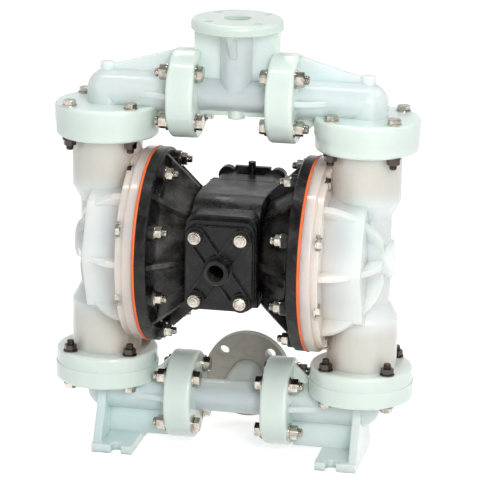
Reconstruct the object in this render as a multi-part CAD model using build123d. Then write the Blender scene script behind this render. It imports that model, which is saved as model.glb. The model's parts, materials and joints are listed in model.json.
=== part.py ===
from build123d import *
import math
import os

# Air operated double diaphragm pump, millimetres.
# The shaft axis runs along X. Left is -X, the air inlet faces -Y, +Z is up.
# Pieces are modelled about the pump's centre on the shaft axis, then raised so that the feet stand on Z = 0.

# Overall layout
SHAFT_HEIGHT = 299.0
VALVE_X = 186.0
MANIFOLD_Z = 222.5
PORT_BORE_R = 19.05

# FIT is the radial gap of a running fit, LOOSE that of a loose one.
# SUNK is how far an added rib goes into the body it joins.
FIT = 0.05
LOOSE = 0.2
SUNK = 1.0

# Fasteners: shank diameter, width across flats, head height, nut height, washer radius, washer thickness
CHAMBER_BOLT_D = 10.0
CHAMBER_BOLT_AF = 16.0
CHAMBER_HEAD_H = 6.4
CHAMBER_NUT_H = 8.0
CHAMBER_WASHER_R = 10.5
CHAMBER_WASHER_T = 1.6
MANIFOLD_BOLT_D = 12.7
MANIFOLD_BOLT_AF = 19.0
MANIFOLD_HEAD_H = 8.0
MANIFOLD_NUT_H = 10.5
MANIFOLD_WASHER_R = 13.0
MANIFOLD_WASHER_T = 2.2
THREAD_END = 7.0
HOLE_CLEARANCE = 0.6
HEX_CROWN = 1.07
TIP_CHAMFER = 0.1

# Horizontal flanges at the valves
VALVE_SEAM_Z = 179.0
ELBOW_FLANGE_R = 74.5
ELBOW_FLANGE_T = 25.0
CHAMBER_FLANGE_R = 73.0
CHAMBER_FLANGE_T = 22.0
VALVE_BOLT_PITCH = 43.8
FLANGE_ROUNDING = 5.0
WEB_EDGE_MARGIN = 2.0

# Vertical flanges of the manifolds, and the pipe flanges that a user bolts to
MANIFOLD_SEAM_X = 70.1
MANIFOLD_FLANGE_R = 63.5
MANIFOLD_FLANGE_T = 19.5
PIPE_BOLT_CIRCLE_D = 98.4
PIPE_HOLE_R = 7.95
PIPE_TAP_R = 6.35
ELBOW_TUBE_R = 28.5
ELBOW_RIB_T = 8.0
ELBOW_BOSS_R = 10.4
ELBOW_BOSS_TOP = 38.5
ELBOW_BOSS_ROUND = 2.0
ELBOW_RIB_STEP = 2.5
GUSSET_HALF_WIDTH = 41.0
GUSSET_LENGTH = 46.0
ORING_WIDTH = 3.0
ORING_DEPTH = 2.0
ORING_MARGIN = 5.0

# Discharge tee
OUTLET_FLANGE_R = 65.0
OUTLET_FLANGE_T = 15.5
OUTLET_TOP_Z = 332.5
OUTLET_COLUMN_R = 23.5
OUTLET_WEB_INSET = 5.0
OUTLET_GUSSET_T = 9.0
OUTLET_GUSSET_DROP = 40.0
OUTLET_UNDER_ROUND = 2.5
OUTLET_TOP_ROUND = 6.5
TEE_TUBE_R = 23.5
TEE_WEB_T = 12.0
TEE_KEEL_DEPTH = 28.7
TEE_NUB_R = 12.0
TEE_NUB_DROP = 4.0

# Suction tee and its loose backing flange
SUCTION_TUBE_R = 23.5
BACKING_FLANGE_R = 63.5
BACKING_FLANGE_T = 18.0
BACKING_FLANGE_FRONT_Y = 100.7
STUB_END_R = 40.0
STUB_END_T = 17.0
STUB_END_ROUND = 2.0
BACKING_FLANGE_GAP = 0.6
BACKING_FLANGE_ROUND = 1.0

# Feet
FOOT_INNER_X = 133.2
FOOT_LENGTH_X = 59.0
FOOT_HALF_Y = 69.6
FOOT_T = 12.0
FOOT_SLOT_R = 7.6
FOOT_SLOT_DEPTH = 17.0
FOOT_SLOT_OFFSET = 23.3
FOOT_WEB_T = 10.0
FOOT_PLATE_T = 12.0
FOOT_PLATE_TOP_HALF_Y = 30.0
FOOT_PLATE_MID_HALF_Y = 37.0
FOOT_PLATE_MID_Z = 238.0
FOOT_PLATE_BOTTOM_HALF_Y = 62.0

# Clamp ring where the diaphragm is held, radii from the shaft axis
CLAMP_X = 114.0
BEAD_T = 4.5
BEAD_PROUD = 1.0
RIM_R = 138.5
INNER_RIM_T = 15.4
OUTER_RIM_T = 14.5
BOLT_LAND_INSET = 4.0
BOLT_LAND_T = 9.5
HEAD_RECESS = 5.5
CLAMP_BOLT_INSET = 15.0
CLAMP_BOLT_COUNT = 8
NUT_BOSS_R = 11.5
NUT_BOSS_T = 9.3
SPOT_FACE_GAP = 1.0
SPOT_FACE_H = 16.0

# White fluid chamber
DRUM_SIDES = 8
DRUM_APOTHEM = 99.0
DRUM_END_X = 197.0
DRUM_WALL = 8.0
CHAMBER_MOUTH_R = 100.0
CHAMBER_RIB_T = 9.0
CHAMBER_RIB_ANGLES = (0, 45, -45, 180, 135, -135)
RIB_ROOT_INSET = 8.5
RIB_SHOULDER_X = 158.0
RIB_SHOULDER_INSET = 13.5
RIB_MIDDLE_X = 200.0
RIB_MIDDLE_R = 88.0
RIB_TIP_X = 218.0
RIB_TIP_R = 14.0
COLUMN_BOLT_GAP = 1.44
COLUMN_SHOULDER_Z = 85.0
COLUMN_NECK_Z = 62.0
NECK_R = 38.0
PASSAGE_R = 27.0
END_BOSS_R = 28.0
END_BOSS_X = 228.5
END_BOSS_ROUND = 4.0
OUTER_RIM_ROUND = 3.0

# Check valves: the same seat, ball and cage at all four places
VALVE_POCKET_R = 38.5
SEAT_H = 12.0
CAGE_H = 72.0
BALL_R = 27.5
BALL_GAP = 0.3
BALL_RISE_ON_SEAT = 13.5
BALL_LIFT = 12.0
CAGE_FIN_T = 5.0
CAGE_RING_H = 5.0
CAGE_RING_WALL = 4.5
CAGE_STOP_H = 7.0

# Black air chamber
HOUSING_HALF_X = 50.0
HOUSING_GASKET_T = 1.5
AIR_CHAMBER_FLOOR_T = 5.0
CONE_BIG_R = 106.0
CONE_SMALL_R = 74.0
AIR_MOUTH_R = 100.0
AIR_FLOOR_R = 66.0
AIR_RIB_T = 7.0
AIR_RIB_COUNT = 8
AIR_RIB_INSET = 6.5
AIR_RIB_INNER_R = 87.0
STIFFENER_RING_R = 116.0
STIFFENER_RING_WALL = 4.0
STIFFENER_RING_T = 6.0
AIR_RIB_SUNK = 4.0
INNER_RIM_CHAMFER = 2.0
AIR_MOUTH_STEP = 3.0
AIR_FLOOR_CHAMFER = 4.0

# Black centre housing
HOUSING_FRONT_Y = 80.0
HOUSING_BACK_Y = 70.0
HOUSING_TOP_Z = 85.0
HOUSING_REAR_TOP_Z = 81.0
HOUSING_STEP_Y = 18.0
HOUSING_BOTTOM_Z = 62.0
HOUSING_SHOULDER_RUN = 56.0
HOUSING_SHOULDER_DROP = 37.0
HOUSING_SHOULDER_BULGE = 9.0
HOUSING_EDGE_ROUND = 2.5
HOUSING_POCKET_DEPTH = 18.0
HOUSING_POCKET_HALF_X = 24.0
HOUSING_POCKET_HALF_Z = 34.0
AIR_PASSAGE_R = 7.0
HOUSING_BOLT_D = 8.0
HOUSING_BOLT_AF = 13.0
HOUSING_BOLT_HEAD_H = 5.3
HOUSING_BOLT_LENGTH = 26.0
HOUSING_BOLT_CIRCLE_R = 52.0
HOUSING_BOLT_ANGLES = (25, 115, 205, 295)
GASKET_OUTER_R = 60.0

# Rod, its bushings and seals, diaphragm and plates
ROD_R = 11.0
ROD_STUD_R = 8.0
ROD_SHOULDER_X = 80.0
ROD_STROKE = 20.0
BUSHING_WALL = 4.0
BUSHING_LENGTH = 20.0
SEAL_LENGTH = 4.0
PLATE_R = 58.0
INNER_PLATE_T = 14.0
INNER_PLATE_HUB_R = 38.0
INNER_PLATE_RIM_T = 7.0
DIAPHRAGM_T = 4.0
OUTER_PLATE_T = 15.0
OUTER_PLATE_RIM_T = 5.0
OUTER_PLATE_CROWN_R = 20.0
STUD_IN_PLATE = 9.0
PLATE_CHAMFER = 2.0
INNER_PLATE_HUB_SLOPE = 7.0
OUTER_PLATE_CROWN_STEP = 5.0
OUTER_PLATE_CROWN_DROP = 1.5
DIAPHRAGM_FLEX_R = 99.0
DIAPHRAGM_EDGE_STEP = 3.0
FOLD_CREST_INSET = 9.0
FOLD_CREST_X = 1.5
FOLD_FLANK_INSET = 24.0
FOLD_FLANK_X = -8.0
FOLD_FOOT_OUTSET = 8.0
FOLD_FOOT_X = 3.0

# Pilot valve, parallel to the rod
PILOT_Z = 33.0
PILOT_SLEEVE_R = 10.0
PILOT_SPOOL_R = 6.0
PILOT_SLEEVE_HALF_X = 24.0
PILOT_SPOOL_HALF_X = 18.0
PILOT_TRAVEL = 3.0
PILOT_WAIST_R = 3.6
PILOT_PORT_R = 1.75
PLUNGER_R = 3.5
PLUNGER_BUSHING_R = 7.0
PLATE_CLEARANCE = 0.3

# Air inlet cap on the front
CAP_PAD_T = 16.0
CAP_GASKET_T = 1.6
CAP_BASE_T = 8.4
CAP_FACE_T = 5.0
CAP_TOP_Z = 73.0
CAP_BOTTOM_Z = 62.0
CAP_CORNER_R = 16.0
CAP_BASE_INSET = 1.0
CAP_BASE_DROP = 5.8
CAP_FACE_INSET = 2.4
CAP_FACE_DROP = 12.0
CAP_FACE_CHAMFER = 1.2
CAP_BOLT_X = 32.3
CAP_BOLT_Z = 45.3
CAP_LUG_R = 14.0
CAP_BOSS_R = 10.8
CAP_BOSS_FRONT_Y = 121.8
CAP_BOLT_D = 8.0
CAP_BOLT_AF = 13.0
CAP_BOLT_HEAD_H = 6.5
CAP_BOLT_FLANGE_R = 8.8
CAP_BOLT_FLANGE_T = 1.6
CAP_BOLT_LENGTH = 46.0
CAP_BOLT_DISH_R = 3.4
CAP_BOLT_DISH_DEPTH = 0.8
INLET_BASE_R = 20.5
INLET_BOSS_R = 18.0
INLET_FRONT_Y = 133.0
INLET_HOLE_R = 11.9
INLET_CHAMFER = 1.5
CAP_RIB_T = 3.5
CAP_RIB_DROP = 5.0

# Main air valve on the back
AIR_VALVE_GASKET_T = 1.6
AIR_VALVE_SIDE_INSET = 4.0
AIR_VALVE_DEPTH = 62.0
AIR_VALVE_TOP_Z = 81.0
AIR_VALVE_BOTTOM_Z = 42.0
AIR_VALVE_ROUND = 9.0
SPOOL_Y = 99.0
SPOOL_Z = 50.0
SLEEVE_R = 17.0
SPOOL_R = 12.0
SLEEVE_HALF_X = 40.0
SPOOL_HALF_X = 31.0
SPOOL_WAIST_R = 7.0
SPOOL_LAND = 12.0
SLEEVE_PORT_PITCH = 14.4
END_CAP_R = 25.0
END_CAP_T = 9.0
END_CAP_ROUND = 2.0
AIR_VALVE_GASKET_INSET = 1.0
SCREW_TIP_GAP = 1.0
VALVE_SCREW_D = 6.0
VALVE_SCREW_HEAD_R = 5.0
VALVE_SCREW_HEAD_H = 6.0
VALVE_SCREW_IN = 12.0
END_SCREW_CIRCLE_R = 20.5
END_SCREW_LENGTH = 20.0
BODY_SCREW_INSET = 9.0
BODY_SCREW_TOP_Z = 75.0
BODY_SCREW_BOTTOM_Z = 34.0
EXHAUST_BOSS_R = 20.0
EXHAUST_BOSS_T = 5.6
EXHAUST_Z = 10.0
EXHAUST_DEPTH = 36.0
VALVE_LOBE_R = 12.8
VALVE_LOBE_LENGTH = 14.0
VALVE_RIDGE_HALF_X = 26.3
VALVE_RIDGE_T = 8.0
VALVE_RIDGE_TOP_Z = 88.0
VALVE_RECESS_HALF_X = 20.0
VALVE_RECESS_LENGTH = 19.0
VALVE_RECESS_DEPTH = 6.0
VALVE_POST_R = 5.6
VALVE_POST_TOP_Z = 97.5
VALVE_POST_Y = 119.5
PORT_SLOT_R = 4.0

# Sizes worked out from those above
OUTER_FACE_X = CLAMP_X + BEAD_T
OUTER_RIM_X = OUTER_FACE_X + OUTER_RIM_T
HEAD_SEAT_X = OUTER_RIM_X + BOLT_LAND_T - HEAD_RECESS
BEAD_R = RIM_R + BEAD_PROUD
CLAMP_BOLT_CIRCLE_R = RIM_R - CLAMP_BOLT_INSET
INNER_RIM_X = CLAMP_X - INNER_RIM_T
NUT_SEAT_X = INNER_RIM_X - NUT_BOSS_T
AIR_BACK_X = HOUSING_HALF_X + HOUSING_GASKET_T
AIR_FLOOR_X = AIR_BACK_X + AIR_CHAMBER_FLOOR_T
ELBOW_OUTER_Z = VALVE_SEAM_Z + ELBOW_FLANGE_T
CHAMBER_OUTER_Z = VALVE_SEAM_Z - CHAMBER_FLANGE_T
ELBOW_BACK_X = MANIFOLD_SEAM_X + MANIFOLD_FLANGE_T
TEE_BACK_X = MANIFOLD_SEAM_X - MANIFOLD_FLANGE_T
PIPE_BOLT_PITCH = PIPE_BOLT_CIRCLE_D / 2 * math.cos(math.radians(45))
COLUMN_R = VALVE_BOLT_PITCH * math.sqrt(2) - CHAMBER_WASHER_R - COLUMN_BOLT_GAP
POCKET_FLOOR_Z = VALVE_SEAM_Z - SEAT_H - CAGE_H
DIAPHRAGM_X = ROD_SHOULDER_X + INNER_PLATE_T
OUTER_PLATE_X = DIAPHRAGM_X + DIAPHRAGM_T
FOOT_OUTER_X = FOOT_INNER_X + FOOT_LENGTH_X
FOOT_TOP_Z = SHAFT_HEIGHT - FOOT_T
CAP_HALF_X = HOUSING_HALF_X
AIR_VALVE_HALF_X = HOUSING_HALF_X - AIR_VALVE_SIDE_INSET
BODY_SCREW_X = AIR_VALVE_HALF_X - BODY_SCREW_INSET
PAD_FRONT_Y = HOUSING_FRONT_Y + CAP_PAD_T
CAP_BACK_Y = PAD_FRONT_Y + CAP_GASKET_T
CAP_BASE_Y = CAP_BACK_Y + CAP_BASE_T
CAP_FACE_Y = CAP_BASE_Y + CAP_FACE_T
CAP_RIB_FRONT_Y = CAP_BOSS_FRONT_Y - CAP_RIB_DROP
AIR_VALVE_Y = HOUSING_BACK_Y + AIR_VALVE_GASKET_T
AIR_VALVE_REAR_Y = AIR_VALVE_Y + AIR_VALVE_DEPTH
PLUNGER_TIP_X = ROD_SHOULDER_X - ROD_STROKE - PILOT_TRAVEL - PLATE_CLEARANCE
SEAT_R = VALVE_POCKET_R - LOOSE
CORNERS = ((1, 1), (-1, 1), (-1, -1), (1, -1))


# Basic shapes

def cylinder(radius, start, direction, length):
    """A cylinder from a start point along a direction."""
    return Solid.make_cylinder(radius, length, Plane(origin=start, z_dir=direction))


def cone(start_r, end_r, start, direction, length):
    """A cone frustum from a start point along a direction."""
    return Solid.make_cone(start_r, end_r, length, Plane(origin=start, z_dir=direction))


def tube(outer_r, inner_r, start, direction, length):
    """A plain ring or tube from a start point along a direction."""
    return cylinder(outer_r, start, direction, length) - cylinder(inner_r, start, direction, length)


def block(x_range, y_range, z_range):
    """A box between its lowest and highest coordinates."""
    size = [high - low for low, high in (x_range, y_range, z_range)]
    return Solid.make_box(*size, Plane(origin=(x_range[0], y_range[0], z_range[0])))


def turned_x(points):
    """A solid turned about the X axis from (x, radius) points."""
    return revolve(make_face(Polyline(*points, close=True)), Axis.X)


def turned_z(points):
    """A solid turned about the Z axis from (radius, z) points."""
    return revolve(Plane.XZ * make_face(Polyline(*points, close=True)), Axis.Z)


def plate_xz(points, thickness, y=0.0):
    """A plate parallel to the XZ plane, centred on y, from (x, z) points."""
    front = Plane(origin=(0, y, 0), x_dir=(1, 0, 0), z_dir=(0, -1, 0))
    return extrude(front * make_face(Polyline(*points, close=True)), thickness / 2, both=True)


def plate_xy(points, thickness, z=0.0):
    """A plate parallel to the XY plane, centred on z, from (x, y) points."""
    outline = Plane(origin=(0, 0, z)) * make_face(Polyline(*points, close=True))
    return extrude(outline, thickness / 2, both=True)


def rounded_disc(radius, start, direction, length, start_round, end_round):
    """A disc with its two outer edges rounded."""
    disc = Solid.make_cylinder(radius, length)
    if start_round:
        disc = fillet(disc.edges().sort_by(Axis.Z)[0], start_round)
    if end_round:
        disc = fillet(disc.edges().filter_by(GeomType.CIRCLE).sort_by(Axis.Z)[-1], end_round)
    return Plane(origin=start, z_dir=direction) * disc


def mirrored(shape):
    """The same piece on the other side of the pump."""
    return mirror(shape, about=Plane.YZ)


def square_points(pitch):
    """The four corners of a square bolt pattern."""
    return [(pitch * a, pitch * b) for a, b in CORNERS]


def clamp_angles():
    """Angles of the clamp ring's bolts about the shaft axis."""
    step = 360 / CLAMP_BOLT_COUNT
    return [step / 2 + step * i for i in range(CLAMP_BOLT_COUNT)]


def around_x(x, radius, angle):
    """A point at an angle about the shaft axis, from +Y towards +Z."""
    return (x, radius * math.cos(math.radians(angle)), radius * math.sin(math.radians(angle)))


# Fasteners, each made along +Z with its bearing face at the origin

def hex_prism(across_flats, height):
    return extrude(RegularPolygon(across_flats / 2, 6, major_radius=False), height)


def hex_crown(across_flats, height):
    """The cone that bevels the corners of a hexagon's far face."""
    half = across_flats / 2
    return cone(half + height, half, (0, 0, 0), (0, 0, 1), height * HEX_CROWN)


def hex_bolt(diameter, across_flats, head_height, shank_length):
    """A hexagon head above the bearing face and the shank below it."""
    head = hex_prism(across_flats, head_height) & hex_crown(across_flats, head_height)
    shank = Solid.make_cylinder(diameter / 2, shank_length)
    shank = chamfer(shank.edges().sort_by(Axis.Z)[0], diameter * TIP_CHAMFER)
    return head + Pos(0, 0, -shank_length) * shank


def hex_nut(diameter, across_flats, height):
    """A hexagon nut that stands on its bearing face."""
    nut = hex_prism(across_flats, height) & hex_crown(across_flats, height)
    return nut - cylinder(diameter / 2 + FIT, (0, 0, 0), (0, 0, 1), height)


def washer(diameter, outer_r, thickness):
    return tube(outer_r, diameter / 2 + LOOSE, (0, 0, 0), (0, 0, 1), thickness)


def socket_screw(shank_length):
    """A cylinder head screw with a hexagon socket."""
    head = cylinder(VALVE_SCREW_HEAD_R, (0, 0, 0), (0, 0, 1), VALVE_SCREW_HEAD_H)
    socket = Pos(0, 0, VALVE_SCREW_HEAD_H / 2) * hex_prism(VALVE_SCREW_HEAD_R, VALVE_SCREW_HEAD_H / 2)
    return head - socket + cylinder(VALVE_SCREW_D / 2, (0, 0, 0), (0, 0, -1), shank_length)


def at(point, direction, shape):
    """Place a fastener with its bearing face at a point and its head towards a direction."""
    return Plane(origin=point, z_dir=direction) * shape


# Manifolds

def manifold_flange(side):
    """One flange of a manifold joint. side is 1 for the elbow's flange and -1 for the tee's."""
    start = (MANIFOLD_SEAM_X, 0, 0)
    disc = rounded_disc(MANIFOLD_FLANGE_R, start, (side, 0, 0), MANIFOLD_FLANGE_T, 0, FLANGE_ROUNDING)
    for y, z in square_points(PIPE_BOLT_PITCH):
        hole_r = MANIFOLD_BOLT_D / 2 + HOLE_CLEARANCE
        disc -= cylinder(hole_r, (MANIFOLD_SEAM_X, y, z), (side, 0, 0), MANIFOLD_FLANGE_T)
    return disc


def valve_flange(radius, thickness):
    """A horizontal flange from the valve seam upwards."""
    disc = rounded_disc(radius, (VALVE_X, 0, 0), (0, 0, 1), thickness, 0, FLANGE_ROUNDING)
    for x, y in square_points(VALVE_BOLT_PITCH):
        hole_r = CHAMBER_BOLT_D / 2 + HOLE_CLEARANCE
        disc -= cylinder(hole_r, (VALVE_X + x, y, 0), (0, 0, 1), thickness)
    return disc


def elbow_body():
    """What both right-hand elbows share, drawn as the upper one, before its bore is cut."""
    tube_start = (ELBOW_BACK_X, 0, MANIFOLD_Z)
    reach = VALVE_X - ELBOW_BACK_X
    rise = MANIFOLD_Z - VALVE_SEAM_Z
    body = Pos(0, 0, VALVE_SEAM_Z) * valve_flange(ELBOW_FLANGE_R, ELBOW_FLANGE_T)
    body += Pos(0, 0, MANIFOLD_Z) * manifold_flange(1)
    body += cylinder(ELBOW_TUBE_R, tube_start, (1, 0, 0), reach)
    body += cylinder(ELBOW_TUBE_R, (VALVE_X, 0, VALVE_SEAM_Z), (0, 0, 1), rise)
    body += Pos(VALVE_X, 0, MANIFOLD_Z) * Sphere(ELBOW_TUBE_R)
    drop = MANIFOLD_FLANGE_R - FLANGE_ROUNDING - WEB_EDGE_MARGIN
    flange_edge = VALVE_X - ELBOW_FLANGE_R + FLANGE_ROUNDING
    web = [(ELBOW_BACK_X, MANIFOLD_Z), (ELBOW_BACK_X, MANIFOLD_Z - drop),
           (flange_edge, ELBOW_OUTER_Z - ELBOW_FLANGE_T / 2), (VALVE_X, ELBOW_OUTER_Z - SUNK),
           (VALVE_X, MANIFOLD_Z)]
    body += plate_xz(web, ELBOW_RIB_T)
    half = GUSSET_HALF_WIDTH
    gusset = [(ELBOW_BACK_X, -half), (ELBOW_BACK_X + GUSSET_LENGTH, -ELBOW_TUBE_R + SUNK),
              (ELBOW_BACK_X + GUSSET_LENGTH, ELBOW_TUBE_R - SUNK), (ELBOW_BACK_X, half)]
    return body + plate_xy(gusset, ELBOW_RIB_T, MANIFOLD_Z)


def cut_elbow_bore(body):
    """Cut the flow passage and the two seal grooves from an upper elbow."""
    body -= cylinder(PORT_BORE_R, (MANIFOLD_SEAM_X, 0, MANIFOLD_Z), (1, 0, 0), VALVE_X - MANIFOLD_SEAM_X)
    body -= cylinder(PORT_BORE_R, (VALVE_X, 0, VALVE_SEAM_Z), (0, 0, 1), MANIFOLD_Z - VALVE_SEAM_Z)
    body -= Pos(VALVE_X, 0, MANIFOLD_Z) * Sphere(PORT_BORE_R)
    body -= valve_oring()
    return body - manifold_oring()


def valve_oring():
    """Seal in the upper right elbow's valve flange."""
    inner_r = VALVE_POCKET_R + ORING_WIDTH
    return tube(inner_r + ORING_WIDTH, inner_r, (VALVE_X, 0, VALVE_SEAM_Z), (0, 0, 1), ORING_DEPTH)


def manifold_oring():
    """Seal in the upper right elbow's manifold flange."""
    inner_r = PORT_BORE_R + ORING_MARGIN
    start = (MANIFOLD_SEAM_X, 0, MANIFOLD_Z)
    return tube(inner_r + ORING_WIDTH, inner_r, start, (1, 0, 0), ORING_DEPTH)


def discharge_elbow():
    """Upper right elbow with its round boss and sloping top rib."""
    body = elbow_body()
    rib_top = MANIFOLD_Z + MANIFOLD_FLANGE_R - FLANGE_ROUNDING + WEB_EDGE_MARGIN
    boss_top = MANIFOLD_Z + ELBOW_BOSS_TOP
    rib = [(ELBOW_BACK_X, MANIFOLD_Z), (ELBOW_BACK_X, rib_top),
           (VALVE_X - ELBOW_BOSS_R, boss_top - ELBOW_RIB_STEP), (VALVE_X, boss_top - ELBOW_RIB_STEP),
           (VALVE_X, MANIFOLD_Z)]
    body += plate_xz(rib, ELBOW_RIB_T)
    foot = (VALVE_X, 0, MANIFOLD_Z)
    body += rounded_disc(ELBOW_BOSS_R, foot, (0, 0, 1), ELBOW_BOSS_TOP, 0, ELBOW_BOSS_ROUND)
    return cut_elbow_bore(body)


def suction_elbow():
    """Lower right elbow with its foot, made as an upper elbow turned over and then given the foot."""
    body = mirror(elbow_body(), about=Plane.XY)
    bottom = -FOOT_TOP_Z
    web = [(ELBOW_BACK_X, -MANIFOLD_Z), (ELBOW_BACK_X, bottom), (FOOT_OUTER_X, bottom),
           (FOOT_OUTER_X, -ELBOW_OUTER_Z), (VALVE_X, -ELBOW_OUTER_Z)]
    body += plate_xz(web, FOOT_WEB_T)
    top_y, mid_y, low_y = FOOT_PLATE_TOP_HALF_Y, FOOT_PLATE_MID_HALF_Y, FOOT_PLATE_BOTTOM_HALF_Y
    outline = [(-top_y, -ELBOW_OUTER_Z), (-mid_y, -FOOT_PLATE_MID_Z), (-low_y, bottom),
               (low_y, bottom), (mid_y, -FOOT_PLATE_MID_Z), (top_y, -ELBOW_OUTER_Z)]
    end_plate = Plane(origin=(FOOT_OUTER_X, 0, 0), x_dir=(0, 1, 0), z_dir=(1, 0, 0)) * make_face(
        Polyline(*outline, close=True))
    body += extrude(end_plate, -FOOT_PLATE_T)
    pad = block((FOOT_INNER_X, FOOT_OUTER_X), (-FOOT_HALF_Y, FOOT_HALF_Y), (-SHAFT_HEIGHT, bottom))
    slot_x = FOOT_INNER_X + FOOT_SLOT_OFFSET
    for side in (-1, 1):
        end_y = side * (FOOT_HALF_Y - FOOT_SLOT_DEPTH + FOOT_SLOT_R)
        pad -= cylinder(FOOT_SLOT_R, (slot_x, end_y, -SHAFT_HEIGHT), (0, 0, 1), FOOT_T)
        y_range = sorted((end_y, side * FOOT_HALF_Y))
        pad -= block((slot_x - FOOT_SLOT_R, slot_x + FOOT_SLOT_R), y_range, (-SHAFT_HEIGHT, bottom))
    body += pad
    turned_over = cut_elbow_bore(mirror(body, about=Plane.XY))
    return mirror(turned_over, about=Plane.XY)


def discharge_tee():
    """Top centre piece: vertical outlet flange, column, webs, cross tube and two manifold flanges."""
    flange_z = OUTLET_TOP_Z - OUTLET_FLANGE_T
    body = rounded_disc(OUTLET_FLANGE_R, (0, 0, flange_z), (0, 0, 1), OUTLET_FLANGE_T, OUTLET_UNDER_ROUND,
                        OUTLET_TOP_ROUND)
    body += cylinder(OUTLET_COLUMN_R, (0, 0, MANIFOLD_Z), (0, 0, 1), flange_z - MANIFOLD_Z)
    body += cylinder(TEE_TUBE_R, (-TEE_BACK_X, 0, MANIFOLD_Z), (1, 0, 0), 2 * TEE_BACK_X)
    reach = OUTLET_FLANGE_R - OUTLET_WEB_INSET
    keel_z = MANIFOLD_Z - TEE_KEEL_DEPTH
    web = [(-TEE_BACK_X, keel_z), (TEE_BACK_X, keel_z), (TEE_BACK_X, MANIFOLD_Z), (reach, MANIFOLD_Z),
           (reach, flange_z + SUNK), (-reach, flange_z + SUNK), (-reach, MANIFOLD_Z),
           (-TEE_BACK_X, MANIFOLD_Z)]
    body += plate_xz(web, TEE_WEB_T)
    root = OUTLET_COLUMN_R - SUNK
    gusset = [(-reach, flange_z + SUNK), (-reach, flange_z), (-root, flange_z - OUTLET_GUSSET_DROP),
              (root, flange_z - OUTLET_GUSSET_DROP), (reach, flange_z), (reach, flange_z + SUNK)]
    body += Rot(0, 0, 90) * plate_xz(gusset, OUTLET_GUSSET_T)
    body += cylinder(TEE_NUB_R, (0, 0, MANIFOLD_Z), (0, 0, -1), TEE_KEEL_DEPTH + TEE_NUB_DROP)
    flange = Pos(0, 0, MANIFOLD_Z) * manifold_flange(-1)
    body += flange + mirrored(flange)
    body -= cylinder(PORT_BORE_R, (-MANIFOLD_SEAM_X, 0, MANIFOLD_Z), (1, 0, 0), 2 * MANIFOLD_SEAM_X)
    body -= cylinder(PORT_BORE_R, (0, 0, MANIFOLD_Z), (0, 0, 1), OUTLET_TOP_Z - MANIFOLD_Z)
    for x, y in square_points(PIPE_BOLT_PITCH):
        body -= cylinder(PIPE_TAP_R, (x, y, OUTLET_TOP_Z), (0, 0, -1), OUTLET_FLANGE_T)
    return body


def suction_tee():
    """Bottom centre piece: cross tube, two manifold flanges and a rear branch with a stub end."""
    stub_y = BACKING_FLANGE_FRONT_Y + BACKING_FLANGE_T
    rear_y = stub_y + STUB_END_T
    body = cylinder(SUCTION_TUBE_R, (-TEE_BACK_X, 0, 0), (1, 0, 0), 2 * TEE_BACK_X)
    body += cylinder(SUCTION_TUBE_R, (0, 0, 0), (0, 1, 0), stub_y)
    body += rounded_disc(STUB_END_R, (0, stub_y, 0), (0, 1, 0), STUB_END_T, 0, STUB_END_ROUND)
    body += manifold_flange(-1) + mirrored(manifold_flange(-1))
    body -= cylinder(PORT_BORE_R, (-MANIFOLD_SEAM_X, 0, 0), (1, 0, 0), 2 * MANIFOLD_SEAM_X)
    body -= cylinder(PORT_BORE_R, (0, 0, 0), (0, 1, 0), rear_y)
    return Pos(0, 0, -MANIFOLD_Z) * body


def suction_backing_flange():
    """Loose metal ring that bears on the stub end from the front."""
    start = (0, BACKING_FLANGE_FRONT_Y, -MANIFOLD_Z)
    inner_r = SUCTION_TUBE_R + BACKING_FLANGE_GAP
    ring = rounded_disc(BACKING_FLANGE_R, start, (0, 1, 0), BACKING_FLANGE_T, BACKING_FLANGE_ROUND,
                        BACKING_FLANGE_ROUND)
    ring -= cylinder(inner_r, start, (0, 1, 0), BACKING_FLANGE_T)
    for x, z in square_points(PIPE_BOLT_PITCH):
        hole_start = (x, BACKING_FLANGE_FRONT_Y, z - MANIFOLD_Z)
        ring -= cylinder(PIPE_HOLE_R, hole_start, (0, 1, 0), BACKING_FLANGE_T)
    return ring


# Fluid chambers and check valves

def chamber_rib(angle):
    """A radial rib of the fluid chamber, with the dome's outline."""
    start = (OUTER_RIM_X - SUNK, RIM_R - RIB_ROOT_INSET)
    shoulder = (RIB_SHOULDER_X, RIM_R - RIB_SHOULDER_INSET)
    tip = (RIB_TIP_X, RIB_TIP_R)
    arc = ThreePointArc(shoulder, (RIB_MIDDLE_X, RIB_MIDDLE_R), tip)
    edges = [Line(start, shoulder), arc, Line(tip, (RIB_TIP_X, 0)), Line((RIB_TIP_X, 0), (start[0], 0)),
             Line((start[0], 0), start)]
    rib = extrude(make_face(edges), CHAMBER_RIB_T / 2, both=True)
    return Rot(angle, 0, 0) * rib


def column_half():
    """Upper half of the vertical valve column, about its own axis."""
    return turned_z([(0, 0), (NECK_R, 0), (NECK_R, COLUMN_NECK_Z), (COLUMN_R, COLUMN_SHOULDER_Z),
                     (COLUMN_R, CHAMBER_OUTER_Z), (0, CHAMBER_OUTER_Z)])


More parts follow.
